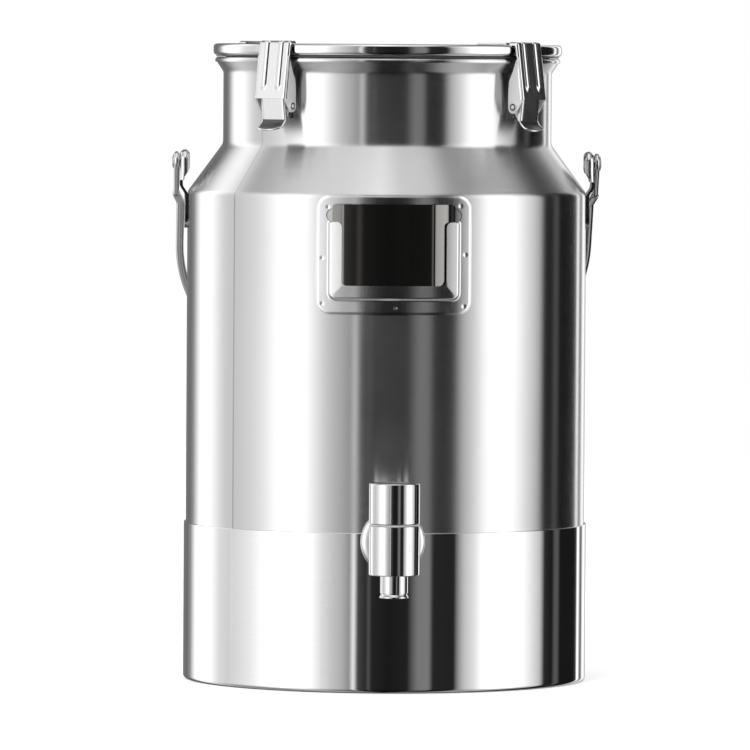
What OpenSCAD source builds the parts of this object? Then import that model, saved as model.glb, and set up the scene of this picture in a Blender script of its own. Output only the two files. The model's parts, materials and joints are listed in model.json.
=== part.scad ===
// Stainless buffet pail with a clamped lid, a swinging bail and a quarter-turn tap.
// Origin at the centre of the base, +Z up, tap and label on the -Y side.

/* [Pail] */
// Outside diameter of the brushed body
body_d = 240; // [200:1:300]
// Wall thickness of the body, the neck and the skirt
wall = 1; // [0.8:0.1:1.6]
// Height of the shoulder's lower fold above the base
shoulder_z = 293; // [270:1:330]
// Height from the lower fold to the fold under the neck
shoulder_h = 29; // [22:1:40]
// Outside diameter of the neck
neck_d = 197.5; // [180:0.5:205]
// Height of the straight neck
neck_h = 44; // [40:1:60]
// How far the mouth flares out beyond the neck
flare = 3; // [2:0.5:4]
// Height of the flared mouth
mouth_h = 8; // [6:0.5:10]
// Section radius of the rolled mouth bead
mouth_r = 2; // [1.5:0.1:2.5]
// Rounding at the two folds of the shoulder
fold_r = 5; // [3:0.5:8]

/* [Base] */
// Height of the polished skirt
skirt_h = 94.5; // [86:0.5:110]
// How far the skirt stands proud of the body
skirt_proud = 1.2; // [1.2:0.1:2.2]
// Width of the ring that the pail rests on
foot_w = 9; // [6:0.5:14]
// Height of the tank's floor
floor_z = 74; // [64:0.5:74]
// Depth of the rim under the tank's floor
floor_rim = 8; // [5:0.5:12]

/* [Lid] */
// Section radius of the lid's rolled edge
lid_bead_r = 3.5; // [2.8:0.1:4]
// How far the lid's edge reaches past the neck
lid_over = 6.05; // [5:0.05:6.5]
// Gap between mouth bead and lid edge, filled by the gasket
gasket_gap = 1; // [0.8:0.1:1.4]
// Thickness of the lid sheet
lid_t = 1; // [0.8:0.1:1.4]
// Depth of the plug below the lid's web
plug_depth = 11; // [8:0.5:12]
// Width of the gasket between plug and neck
plug_gap = 1.25; // [1.1:0.05:1.6]
// Diameter of the raised centre panel
panel_d = 150; // [100:1:170]
// Height of the raised centre panel
panel_h = 4; // [1:0.5:6]

/* [Latches] */
// Turn of the four latches from the diagonals
latch_turn = 4.2; // [-6:0.1:6]
// Width of the claw over its side flanges
claw_w = 23.2; // [22:0.1:26]
// Thickness of all latch sheet
latch_t = 1.2; // [1:0.1:1.3]
// Width of the lever over its walls
lever_w = 17.6; // [16.5:0.1:18]
// Running gap beside each sheet wall
side_gap = 0.3; // [0.2:0.05:0.4]
// Radius of both pivot pins
pin_r = 1.6; // [1.3:0.1:1.7]
// Running clearance round a pin
pin_clear = 0.06; // [0.03:0.01:0.1]
// Gap between the claw's hook and the lid's crown
hook_gap = 0.45; // [0.3:0.05:0.6]
// Height of the two pressed ribs on the claw
rib_h = 0.8; // [0.4:0.1:1]

/* [Bail] */
// Diameter of the bail rod
bail_d = 4.8; // [4:0.1:6]
// Diameter of the rod where it is bent into the eye
eye_d = 3.2; // [2.8:0.1:3.4]
// Height of the bail's pivot above the lower fold
pivot_h = 18; // [14:0.5:24]
// Length of the straight legs, from the pivot
leg_l = 66.5; // [50:0.5:90]
// Length of the eye, between the centres of its ends
eye_l = 20; // [14:0.5:26]
// Diameter of the pivot pin in the ear
ear_pin_d = 5.6; // [5:0.1:6]
// Width of the ear where it is welded to the body
ear_w = 20; // [16:0.5:22]
// Sheet thickness of the ear
ear_t = 1.8; // [1.5:0.1:2.2]
// Length of the ear's pad below the lower fold
ear_pad_l = 22; // [16:0.5:30]
// How far the ear's tab stands off the body
ear_off = 2.9; // [2.5:0.1:4]
// Height over which the ear bends out
ear_bend_h = 5; // [3:0.5:8]
// Metal round the pin in the ear's tab
ear_rim = 4.4; // [3:0.1:6]
// Depth of the rim turned inward round the ear's upper part
ear_lip = 4.2; // [3:0.2:4.6]

/* [Label] */
// Width of the label holder
label_w = 92.4; // [80:0.2:110]
// Height of the label holder
label_h = 70; // [60:0.5:75]
// Sheet thickness of the label holder
label_t = 0.8; // [0.6:0.1:1]
// Height of the raised pocket over the body
pocket_rise = 3.1; // [2.8:0.1:3.6]
// Width of the raised pocket
pocket_w = 78.4; // [70:0.2:84]
// Height of the flat rim below the pocket
label_rim = 8; // [6:0.5:10]
// Height of the pocket's rails above the holder's lower edge
rail_h = 54.4; // [48:0.2:58]
// Height of the window's sill above the holder's lower edge
sill_h = 17; // [14:0.5:22]
// Height of the flat rim above the opening
label_top_rim = 4.8; // [4:0.2:7]
// Radius of the two notches beside the opening
notch_r = 4; // [3:0.2:5]
// Width of the pocket's sight window
window_w = 61; // [50:0.5:66]
// Width of the loose name plate
plate_w = 72.4; // [66:0.2:76]
// Thickness of the name plate
plate_t = 0.8; // [0.6:0.1:1]

/* [Tap] */
// Diameter of the tap's barrel and knob
tap_d = 30; // [26:0.5:36]
// Distance from the skirt to the tap's axis
tap_reach = 26.8; // [24:0.2:34]
// Height of the shank's axis
shank_z = 89.8; // [87:0.2:92]
// Diameter of the shank
shank_d = 16; // [14:0.5:18]
// Bore through the shank and the valve
bore_d = 7.6; // [6:0.2:8]
// Height of the barrel below the shank's axis
barrel_down = 18.1; // [17:0.1:20]
// Height of the barrel above the shank's axis
barrel_up = 10.9; // [10:0.1:14]
// Height of the knob
knob_h = 23.8; // [18:0.2:30]
// Diameter of the valve plug
plug_d = 18; // [17:0.1:20]
// Radial running clearance of the valve plug
plug_clear = 0.05; // [0.02:0.01:0.08]
// Diameter of the plug's stem
stem_d = 12.2; // [10:0.2:13]
// Diameter of the nozzle
nozzle_d = 16.4; // [14:0.2:18]
// Length of the nozzle below the barrel
nozzle_l = 13.4; // [10:0.2:18]
// Diameter of the round flange behind the barrel
flange_d = 38; // [32:0.5:42]
// Height of the flange's dome
flange_h = 4.5; // [3:0.1:5.5]

/* [Hidden] */
$fn = 96;

// Small gaps and the overshoot of a cutting shape
seat = 0.2;
cut = 1;

// Radii and heights of the pail
body_r = body_d / 2;
neck_r = neck_d / 2;
neck_z = shoulder_z + shoulder_h;
mouth_z = neck_z + neck_h;
mouth_top = mouth_z + mouth_h;
skirt_r = body_r + skirt_proud;
tank_end = floor_z - floor_rim;

// Heights of the lid: the bead's lowest line, its centre and its crown
lid_low = mouth_top + gasket_gap;
lid_mid = lid_low + lid_bead_r;
lid_top = lid_mid + lid_bead_r;
lid_bead_c = neck_r + lid_over - lid_bead_r;
web_z = lid_low + 0.3;
plug_r = neck_r - wall - plug_gap;
plug_z = web_z - plug_depth;

// Latch points in the plane u (out from the neck) and z (from the lid's crown)
pivot_a = [7.8, -27];
pivot_b = [5.8, -37];
boss_r = pin_r + 1.4;
claw_top_u = lid_over + 2.55;
claw_low = [claw_top_u + 4.5, -32.5];
claw_lean = atan((claw_low[0] - claw_top_u) / -claw_low[1]);
lever_bend = [9.1, -44.9];
lever_tip = [16, -50];
tab_round = 11.3;
tab_mid = [12.4, -48.2];
lever_bend_in = lever_bend - [latch_t, 0.6];
base_low = -44;
base_h = 26;
lever_in = lever_w / 2 - latch_t;
claw_in = claw_w / 2 - latch_t;

// Bail
pivot_z = shoulder_z + pivot_h;
ear_face = body_r + ear_off + ear_t;
eye_x = ear_face + seat + eye_d / 2;
leg_gap = 1.5;
leg_x = body_r + bail_d / 2 + leg_gap;
eye_ring = (ear_pin_d + eye_d) / 2 + pin_clear;

// Angle from straight down at which the bail's arc rests on the back of the body
rest_angle = asin((body_r + bail_d / 2 + seat) / (leg_l + leg_x));

// Label holder
label_low = shoulder_z - label_h;
pocket_low = label_low + label_rim;
rail_top = label_low + rail_h;
window_low = label_low + sill_h;
opening_top = shoulder_z - label_top_rim;
plate_gap = 0.3;
plate_r = body_r + label_t + plate_gap;

// Tap
tap_y = -(skirt_r + tap_reach);
tap_r = tap_d / 2;
barrel_low = shank_z - barrel_down;
barrel_top = shank_z + barrel_up;
knob_low = barrel_top + 1.2;
bore_r = bore_d / 2;
shank_r = shank_d / 2;
flange_back = skirt_r + 1.2;
gland_h = 3;
gland_d = plug_d + 4;
seat_z = barrel_low + 7;
seal_t = 2.7;
nut_face = body_r - wall - seal_t;
nut_h = 6;
shank_end = nut_face - nut_h - 4;
o_ring_z = [shank_z - bore_r - 3.8, barrel_top - gland_h - 2.3];
nozzle_wall = 2.4;
nozzle_in = 5;
stem_in = 16;
screw_z = knob_low + 8;
screw_r = 2;
screw_l = 7;

// Corner rounding of an open path of [x, y, radius] points
function unit(v) = v / norm(v);
function corner(a, b, c, r) =
    let (u = unit([a[0] - b[0], a[1] - b[1]]), v = unit([c[0] - b[0], c[1] - b[1]]),
        half = acos(u * v) / 2, m = [b[0], b[1]] + unit(u + v) * r / sin(half),
        s = [b[0], b[1]] + u * r / tan(half) - m, turn = sign(u[0] * v[1] - u[1] * v[0]),
        sweep = turn * (180 - 2 * half))
    [for (i = [0:6]) let (t = -sweep * i / 6)
        m + [s[0] * cos(t) - s[1] * sin(t), s[0] * sin(t) + s[1] * cos(t)]];
function rounded(p) = [for (i = [0:len(p) - 1])
    each (i == 0 || i == len(p) - 1 || p[i][2] == 0) ? [[p[i][0], p[i][1]]]
        : corner(p[i - 1], p[i], p[i + 1], p[i][2])];
function reversed(p) = [for (i = [len(p) - 1:-1:0]) p[i]];

// A rectangle with round corners, centred on x and standing on y = 0
module rounded_rect(w, h, r) {
    translate([-w / 2 + r, 0]) square([w - 2 * r, h]);
    translate([-w / 2, r]) square([w, h - 2 * r]);
    for (x = [-1, 1], y = [r, h - r])
        translate([x * (w / 2 - r), y]) circle(r);
}

// The stretch of a cylindrical sheet that lies inside a flat outline on the front
module front_sheet(r_in, r_out) {
    intersection() {
        translate([0, 0, label_low - cut])
            difference() {
                cylinder(r = r_out, h = label_h + 2 * cut);
                translate([0, 0, -cut]) cylinder(r = r_in, h = label_h + 4 * cut);
            }
        rotate([90, 0, 0]) linear_extrude(body_d) children();
    }
}

// A shape along the shank's axis, its z running out of the tank towards the tap
module along_shank() {
    translate([0, 0, shank_z]) rotate([90, 0, 0]) children();
}

module rod(p, q, r) {
    d = q - p;
    translate(p)
        rotate([0, acos(d[2] / norm(d)), atan2(d[1], d[0])])
            cylinder(r = r, h = norm(d));
}

// The pail
module body_shell() {
    bead_x = neck_r + flare;
    bead_z = mouth_top - mouth_r;
    flare_fold = 4;
    color("silver") difference() {
        rotate_extrude() {
            polygon(concat(
                rounded([[body_r, tank_end, 0], [body_r, shoulder_z, fold_r],
                    [neck_r, neck_z, fold_r + wall], [neck_r, mouth_z - wall, flare_fold],
                    [bead_x + mouth_r * 0.6, bead_z, 0]]),
                reversed(rounded([[body_r - wall, tank_end, 0],
                    [body_r - wall, shoulder_z - wall * 0.4, fold_r - wall],
                    [neck_r - wall, neck_z - wall * 0.4, fold_r + wall * 2],
                    [neck_r - wall, mouth_z - wall * 0.6, flare_fold + wall],
                    [bead_x - mouth_r * 0.6, bead_z + mouth_r * 0.4, 0]]))));
            translate([bead_x, bead_z]) circle(mouth_r);
        }
        shank_hole();
    }
}

// Clearance hole for the shank through body and skirt
module shank_hole() {
    along_shank() cylinder(d = shank_d + 1, h = skirt_r + shank_d);
}

module tank_bottom() {
    r = body_r - wall;
    dish_r = r * 0.48;
    dish_slope = 7;
    dish_z = floor_z - 2;
    fold = 4;
    outer = [[0, dish_z, 0], [dish_r, dish_z, fold], [dish_r + dish_slope, floor_z, fold],
        [r, floor_z, fold], [r, tank_end, 0]];
    inner = [[0, dish_z - wall, 0], [dish_r, dish_z - wall, fold - wall],
        [dish_r + dish_slope, floor_z - wall, fold - wall],
        [r - wall, floor_z - wall, fold - wall], [r - wall, tank_end, 0]];
    color("silver") rotate_extrude()
        polygon(concat(rounded(outer), reversed(rounded(inner))));
}

module base_skirt() {
    lip = 3;
    in_r = body_r + seat;
    color("gainsboro") difference() {
        rotate_extrude()
            polygon(concat(
                rounded([[skirt_r - foot_w, 0, 0], [skirt_r, 0, 2.5],
                    [skirt_r, skirt_h, 0.4], [body_r, skirt_h, 0]]),
                reversed(rounded([[skirt_r - foot_w, wall, 0],
                    [in_r, wall, 1.5], [in_r, skirt_h - lip, 0],
                    [body_r, skirt_h - lip + 0.5, 0]]))));
        shank_hole();
    }
}

// Label holder: a flat frame pressed out into a pocket that is open at the top
module label_holder() {
    window_r = 3;
    drop = sill_h * 0.6;
    color("gainsboro") {
        difference() {
            front_sheet(body_r, body_r + label_t)
                translate([0, label_low]) rounded_rect(label_w, label_h, label_rim * 0.9);
            front_sheet(body_r - cut, body_r + label_t + cut) {
                translate([0, pocket_low])
                    rounded_rect(pocket_w - 2 * label_t, rail_top - pocket_low, window_r);
                translate([0, rail_top - drop])
                    rounded_rect(plate_w + 2 * plate_gap, opening_top - rail_top + drop,
                        window_r);
                for (s = [-1, 1])
                    translate([s * plate_w / 2, rail_top + notch_r]) circle(notch_r);
            }
        }
        difference() {
            front_sheet(body_r, body_r + pocket_rise) pocket_outline(0);
            front_sheet(body_r - cut, body_r + pocket_rise - label_t)
                pocket_outline(label_t);
            front_sheet(body_r - cut, body_r + pocket_rise + cut)
                translate([0, window_low])
                    rounded_rect(window_w, shoulder_z - window_low, window_r);
        }
    }
}

// The pocket's outline, drawn in by an inset on its closed sides
module pocket_outline(inset) {
    w = pocket_w - 2 * inset;
    low = pocket_low + inset;
    intersection() {
        translate([0, low]) rounded_rect(w, label_h, label_rim / 2 - inset);
        translate([-w / 2, low - cut])
            square([w, rail_top - low + cut + (inset > 0 ? cut : 0)]);
    }
}

module label_plate() {
    low = pocket_low + label_t + seat;
    color("dimgray") front_sheet(plate_r, plate_r + plate_t)
        translate([0, low]) rounded_rect(plate_w, opening_top - low - plate_gap, 2);
}

// Ear: a pad on the body, bent out into a tab that carries the bail's pin
module ear() {
    pad_low = shoulder_z - ear_pad_l;
    tab_r = ear_pin_d / 2 + ear_rim;
    bend = shoulder_z - wall;
    reach = ear_face + cut;
    color("gainsboro") {
        intersection() {
            translate([0, 0, pad_low]) difference() {
                cylinder(r = body_r + ear_t, h = bend - pad_low);
                translate([0, 0, -cut]) cylinder(r = body_r, h = bend - pad_low + 2 * cut);
            }
            rotate([90, 0, 90]) linear_extrude(reach) {
                translate([-ear_w / 2, pad_low + ear_w / 2])
                    square([ear_w, bend - pad_low - ear_w / 2]);
                translate([0, pad_low + ear_w / 2]) circle(ear_w / 2);
            }
        }
        difference() {
            intersection() {
                rotate([90, 0, 0]) translate([0, 0, -ear_w / 2])
                    linear_extrude(ear_w) polygon(ear_side(bend));
                rotate([90, 0, 90]) linear_extrude(reach) {
                    polygon([[-ear_w / 2, bend - ear_w / 6], [ear_w / 2, bend - ear_w / 6],
                        [tab_r, pivot_z], [-tab_r, pivot_z]]);
                    translate([0, pivot_z]) circle(tab_r);
                }
            }
            translate([0, 0, pivot_z]) rotate([0, 90, 0])
                cylinder(d = ear_pin_d, h = reach);
        }
        ear_edge(bend, tab_r);
    }
}

// Rim turned inward from the ear's plate: a half ring over the pin and a straight run down each side
module ear_edge(bend, tab_r) {
    t = ear_t * 0.8;
    inner = ear_face - ear_t - ear_lip;
    depth = ear_lip + ear_t / 2;
    foot = bend + ear_bend_h + 3;
    slope = (ear_w / 2 - tab_r) / (pivot_z - bend + ear_w / 6);
    wide = tab_r + slope * (pivot_z - foot);
    translate([inner, 0, pivot_z]) rotate([0, 90, 0]) difference() {
        cylinder(r = tab_r, h = depth);
        translate([0, 0, -cut]) cylinder(r = tab_r - t, h = depth + 2 * cut);
        translate([0, -2 * tab_r, -cut]) cube([2 * tab_r, 4 * tab_r, depth + 2 * cut]);
    }
    for (s = [-1, 1]) translate([inner, 0, 0]) rotate([90, 0, 90]) linear_extrude(depth)
        polygon([[s * wide, foot], [s * tab_r, pivot_z],
            [s * (tab_r - t), pivot_z], [s * (wide - t), foot]]);
}

// Side profile of the ear's joggled upper part, as x and z
function ear_side(bend) =
    let (root = body_r + ear_t * 0.28, lap = ear_bend_h / 2, end = pivot_z + ear_w)
    [[root, bend - lap], [body_r + ear_t, bend - lap],
        [ear_face, bend + ear_bend_h], [ear_face, end],
        [ear_face - ear_t, end], [ear_face - ear_t, bend + ear_bend_h * 1.08],
        [root, bend]];

module ear_pin() {
    head_x = eye_x + eye_d / 2 + seat;
    head_r = ear_pin_d * 0.75;
    color("silver") translate([0, 0, pivot_z]) rotate([0, 90, 0]) {
        translate([0, 0, ear_face - ear_t]) cylinder(d = ear_pin_d, h = head_x - ear_face + ear_t);
        translate([0, 0, head_x]) cylinder(r1 = head_r, r2 = head_r * 0.81, h = 1);
    }
}

// Bail, drawn hanging straight down from the pivot and turned to its rest
module bail() {
    rod_r = bail_d / 2;
    knuckle_r = rod_r + 0.15;
    joggle = eye_l + bail_d * 2.5;
    color("gainsboro") translate([0, 0, pivot_z]) rotate([rest_angle, 0, 0]) {
        for (s = [-1, 1]) {
            translate([s * eye_x, 0, 0]) rotate([0, 90, 0]) eye_loop();
            translate([s * eye_x, 0, -eye_l - eye_ring]) sphere(knuckle_r);
            rod([s * eye_x, 0, -eye_l - eye_ring], [s * leg_x, 0, -joggle], rod_r);
            translate([s * leg_x, 0, -joggle]) sphere(knuckle_r);
            rod([s * leg_x, 0, -joggle], [s * leg_x, 0, -leg_l], rod_r);
        }
        translate([0, 0, -leg_l]) rotate([90, 0, 0]) rotate([0, 0, 180])
            rotate_extrude(angle = 180) translate([leg_x, 0]) circle(rod_r);
    }
}

// A long eye bent from rod, its upper end round the pivot, in the plane of x and y
module eye_loop() {
    r = eye_d / 2;
    rotate([0, 0, 90]) rotate_extrude(angle = 180) translate([eye_ring, 0]) circle(r);
    translate([eye_l, 0, 0]) rotate([0, 0, -90])
        rotate_extrude(angle = 180) translate([eye_ring, 0]) circle(r);
    for (s = [-1, 1]) translate([0, s * eye_ring, 0])
        rotate([0, 90, 0]) cylinder(r = r, h = eye_l);
}

// Latches: children are drawn with x = u, z from the lid's crown, y across
module at_latch(k) {
    rotate([0, 0, 45 + 90 * k + latch_turn]) translate([neck_r, 0, lid_top]) children();
}
module sheet_across(y_mid, t) {
    translate([0, y_mid + t / 2, 0]) rotate([90, 0, 0]) linear_extrude(t) children();
}
module across(p, r, y1, y2) {
    translate([p[0], y2, p[1]]) rotate([90, 0, 0]) cylinder(r = r, h = y2 - y1);
}

module latch_base(k) {
    ear_mid = lever_in - side_gap - latch_t / 2;
    pad_w = 2 * ear_mid + latch_t;
    root_u = latch_t / 3;
    lug_u = latch_t * 2.5;
    color("silver") {
        intersection() {
            translate([0, 0, lid_top + base_low]) difference() {
                cylinder(r = neck_r + latch_t, h = base_h);
                translate([0, 0, -cut]) cylinder(r = neck_r, h = base_h + 2 * cut);
            }
            at_latch(k) translate([-pad_w / 2, -pad_w / 2, base_low])
                cube([pad_w, pad_w, base_h]);
        }
        at_latch(k) difference() {
            for (s = [-1, 1]) sheet_across(s * ear_mid, latch_t) {
                polygon([[root_u, pivot_a[1] + 8], [lug_u, pivot_a[1] + 8],
                    [pivot_a[0], pivot_a[1] + boss_r], [pivot_a[0], pivot_a[1] - boss_r],
                    [lug_u, pivot_a[1] - 9], [root_u, pivot_a[1] - 9]]);
                translate(pivot_a) circle(boss_r);
            }
            across(pivot_a, pin_r, -lever_w, lever_w);
        }
    }
}

module latch_base_pin(k) {
    shaft = lever_w / 2 + seat;
    head = claw_in - seat - shaft;
    color("silver") at_latch(k) {
        across(pivot_a, pin_r, -shaft, shaft);
        across(pivot_a, pin_r + 0.9, shaft, shaft + head);
        across(pivot_a, pin_r + 0.9, -shaft - head, -shaft);
    }
}

module latch_lever(k) {
    wall_mid = lever_in + latch_t / 2;
    front = pivot_a[0] + boss_r;
    plate_top = pivot_a[1] - boss_r - side_gap;
    color("gainsboro") at_latch(k) {
        difference() {
            union() {
                for (s = [-1, 1]) sheet_across(s * wall_mid, latch_t) lever_side(front);
                sheet_across(0, lever_w)
                    polygon([[front - latch_t, plate_top], [front, plate_top], lever_bend,
                        lever_bend_in]);
            }
            across(pivot_a, pin_r + pin_clear, -lever_w, lever_w);
            across(pivot_b, pin_r + pin_clear, -lever_w, lever_w);
        }
        intersection() {
            sheet_across(0, lever_w)
                polygon([lever_bend, tab_mid, lever_tip, lever_tip - [0.4, 1.1],
                    tab_mid - [0.8, 1.1], lever_bend_in]);
            translate([lever_tip[0] + 0.3 - tab_round, 0, lever_tip[1] - lever_w / 2])
                cylinder(r = tab_round, h = lever_w);
        }
    }
}

// Side wall of the lever round both pins
module lever_side(front) {
    translate(pivot_a) circle(boss_r);
    translate(pivot_b) circle(boss_r);
    polygon([[front - 0.1, pivot_a[1]], lever_bend,
        lever_bend_in,
        [pivot_b[0] - 1, pivot_b[1] - boss_r + 0.15], [pivot_b[0] - boss_r, pivot_b[1]],
        [pivot_a[0] - boss_r, pivot_a[1]]]);
}

module latch_claw(k) {
    hook_u = lid_over - lid_bead_r + 0.25;
    t = latch_t;
    flange_mid = claw_in + t / 2;
    color("gainsboro") at_latch(k) {
        sheet_across(0, claw_w)
            polygon(concat(
                rounded([[hook_u, hook_gap, 0], [claw_top_u - t, hook_gap, t / 2],
                    [claw_low[0] - t, claw_low[1], 0]]),
                reversed(rounded([[hook_u, hook_gap + t, 0],
                    [claw_top_u, hook_gap + t, t * 1.5], [claw_low[0], claw_low[1], 0]]))));
        difference() {
            for (s = [-1, 1]) sheet_across(s * flange_mid, t) claw_side();
            across(pivot_b, pin_r, -claw_w, claw_w);
        }
        for (s = [-1, 1]) claw_rib(s * claw_w * 0.235);
    }
}

// Fin at the side of the claw, swelling back towards the neck round the lower pin
module claw_side() {
    eye_r = boss_r + latch_t / 2;
    translate(pivot_b) circle(eye_r);
    polygon([[claw_top_u + 1, pivot_a[1] + 17], [pivot_a[0] - 2.2, pivot_a[1] + 10.8],
        [pivot_a[0] - 4.4, pivot_a[1] + 6.5], [pivot_b[0] - eye_r, pivot_b[1] + 9],
        [pivot_b[0] - eye_r, pivot_b[1]], [pivot_b[0] + 0.8, pivot_b[1] - eye_r + 0.1],
        [claw_low[0] - latch_t / 2, claw_low[1]], [claw_top_u + 0.9, -6]]);
}

module claw_rib(y) {
    r = 2.2;
    length = -claw_low[1] - 6;
    intersection() {
        translate([claw_top_u, y, 0]) rotate([0, 180 - claw_lean, 0])
            translate([r - rib_h, 0, 1]) {
                cylinder(r = r, h = length - 3);
                translate([0, 0, length - 3]) sphere(r);
            }
        sheet_across(y, 2 * r + 1)
            polygon([[claw_top_u - 0.5, hook_gap], [claw_low[0] - 0.5, claw_low[1]],
                [claw_low[0] + 3, claw_low[1]], [claw_top_u + 3, hook_gap]]);
    }
}

module latch_claw_pin(k) {
    in_y = lever_w / 2 + seat;
    out_y = claw_w / 2;
    collar_r = pin_r + 0.8;
    color("silver") at_latch(k) {
        across(pivot_b, pin_r, -out_y, out_y);
        for (s = [-1, 1]) {
            across(pivot_b, collar_r, s > 0 ? in_y : -claw_in, s > 0 ? claw_in : -in_y);
            translate([pivot_b[0], s * out_y, pivot_b[1]]) rotate([-90 * s, 0, 0])
                cylinder(r1 = pin_r + 0.7, r2 = pin_r, h = 0.9);
        }
    }
}

// Lid with a wired edge, a web over the gasket, a plug wall and a stepped panel
module lid_cover() {
    panel_r = panel_d / 2;
    rise_r = panel_r - 5;
    panel_z = plug_z + panel_h;
    color("gainsboro") rotate_extrude() {
        translate([lid_bead_c, lid_mid]) circle(lid_bead_r);
        polygon(concat(
            rounded([[lid_bead_c, web_z + lid_t, 0], [plug_r - lid_t, web_z + lid_t, 1.5],
                [plug_r - lid_t, plug_z + lid_t, 3], [panel_r, plug_z + lid_t, 3],
                [rise_r, panel_z + lid_t, 3], [0, panel_z + lid_t, 0]]),
            reversed(rounded([[lid_bead_c, web_z, 0], [plug_r, web_z, 0.5],
                [plug_r, plug_z, 4], [panel_r, plug_z, 2],
                [rise_r, panel_z, 4], [0, panel_z, 0]]))));
    }
}

// Silicone ring that hangs on the plug and lies on the mouth bead
module lid_gasket() {
    step_r = lid_bead_c - 1.5;
    low = mouth_top + seat;
    skin_r = plug_r + 0.8;
    edge_r = neck_r + flare + mouth_r - 0.6;
    color("whitesmoke") rotate_extrude()
        polygon([[plug_r, plug_z + 4], [skin_r, plug_z + 4.5], [skin_r, low],
            [edge_r, low], [edge_r, lid_low - 0.1], [step_r, lid_low - 0.1],
            [step_r, web_z], [plug_r + 0.5, web_z],
            [plug_r, web_z - 0.5]]);
}

// Tap
module tap_body() {
    root_h = -tap_y - flange_back - flange_h;
    color("silver") difference() {
        union() {
            translate([0, tap_y, barrel_low]) rotate_extrude()
                polygon([[0, 0], [tap_r - 0.5, 0], [tap_r, 0.5],
                    [tap_r, barrel_top - barrel_low - 0.4],
                    [tap_r - 0.4, barrel_top - barrel_low], [0, barrel_top - barrel_low]]);
            along_shank() {
                translate([0, 0, flange_back + flange_h])
                    cylinder(r = shank_r + 1.5, h = root_h);
                translate([0, 0, shank_end]) cylinder(r = shank_r, h = -tap_y - shank_end);
            }
        }
        translate([0, tap_y, 0]) {
            translate([0, 0, seat_z]) cylinder(d = plug_d, h = barrel_top - seat_z + cut);
            translate([0, 0, barrel_top - gland_h]) cylinder(d = gland_d, h = gland_h + cut);
            translate([0, 0, barrel_low - cut]) cylinder(r = bore_r, h = shank_z - barrel_low);
            translate([0, 0, barrel_low - cut])
                cylinder(d = nozzle_d - nozzle_wall, h = nozzle_in + cut);
        }
        along_shank() translate([0, 0, shank_end - cut])
            cylinder(r = bore_r, h = -tap_y - shank_end);
    }
}

module tap_flange() {
    color("gainsboro") along_shank() translate([0, 0, flange_back]) rotate_extrude()
        polygon(concat([[shank_r, 0], [flange_d / 2 - 0.4, 0]],
            [for (i = [0:8]) let (a = 90 * i / 8)
                [shank_r + 1.8 + (flange_d / 2 - shank_r - 1.8) * cos(a),
                    0.5 + (flange_h - 0.5) * sin(a)]],
            [[shank_r, flange_h]]));
}

// Outer seal, squeezed between the flange and the skirt's and body's faces
module tap_outer_seal() {
    color("dimgray") difference() {
        along_shank() translate([0, 0, body_r - shank_r]) difference() {
            cylinder(d = flange_d - 3, h = flange_back - body_r + shank_r);
            translate([0, 0, -cut]) cylinder(r = shank_r, h = flange_d);
        }
        cylinder(r = skirt_r, h = skirt_h, $fn = 720);
        cylinder(r = body_r, h = shoulder_z, $fn = 720);
    }
}

module tap_inner_seal() {
    color("dimgray") intersection() {
        along_shank() translate([0, 0, nut_face]) difference() {
            cylinder(r = shank_r * 1.625, h = shank_r);
            translate([0, 0, -cut]) cylinder(r = shank_r, h = shank_d);
        }
        cylinder(r = body_r - wall, h = shoulder_z, $fn = 720);
    }
}

module tap_lock_nut() {
    color("silver") along_shank() translate([0, 0, nut_face - nut_h]) difference() {
        cylinder(d = (shank_d + nut_h) / cos(30), h = nut_h, $fn = 6);
        translate([0, 0, -cut]) cylinder(r = shank_r, h = nut_h + 2 * cut);
    }
}

module tap_nozzle() {
    r = nozzle_d / 2;
    in_r = r - nozzle_wall;
    neck = r - nozzle_wall / 2;
    low = barrel_low - nozzle_l;
    top = barrel_low + nozzle_in;
    color("gainsboro") translate([0, tap_y, 0]) rotate_extrude()
        polygon([[in_r, low], [r, low], [r + 0.4, low + 0.4], [r + 0.4, low + 1.6],
            [r, low + 2], [r, barrel_low], [neck, barrel_low], [neck, top],
            [bore_r, top], [bore_r, low + 9], [in_r, low + 7.5]]);
}

// Valve plug: an elbow bore from its side to its foot, closed at rest
module tap_plug() {
    r = plug_d / 2 - plug_clear;
    low = seat_z + 0.1;
    top = barrel_top - gland_h - 0.1;
    color("silver") translate([0, tap_y, 0]) difference() {
        union() {
            translate([0, 0, low]) cylinder(r = r, h = top - low);
            translate([0, 0, low]) cylinder(d = stem_d, h = knob_low + stem_in - low);
        }
        translate([0, 0, low - cut]) cylinder(r = bore_r, h = shank_z - low + cut);
        translate([0, 0, shank_z]) rotate([0, 90, 0]) cylinder(r = bore_r, h = plug_d);
        for (z = o_ring_z) translate([0, 0, z - 1.25]) difference() {
            cylinder(d = plug_d + 2, h = 2.5);
            translate([0, 0, -cut]) cylinder(r = r - 2.5, h = 5);
        }
    }
}

module plug_o_rings() {
    color("dimgray") for (z = o_ring_z) translate([0, tap_y, z])
        rotate_extrude() translate([plug_d / 2 - 1.3, 0]) circle(1.2);
}

// Ring that keeps the plug in the barrel
module plug_gland() {
    color("darkgray") translate([0, tap_y, barrel_top - gland_h]) difference() {
        cylinder(d = gland_d, h = gland_h);
        translate([0, 0, -cut]) cylinder(r = stem_d / 2 + plug_clear, h = gland_h + 2 * cut);
    }
}

module knob_washer() {
    color("whitesmoke") translate([0, tap_y, barrel_top]) difference() {
        cylinder(r = tap_r - 1, h = 1);
        translate([0, 0, -cut]) cylinder(r = stem_d / 2 + plug_clear, h = 1 + 2 * cut);
    }
}

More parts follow.
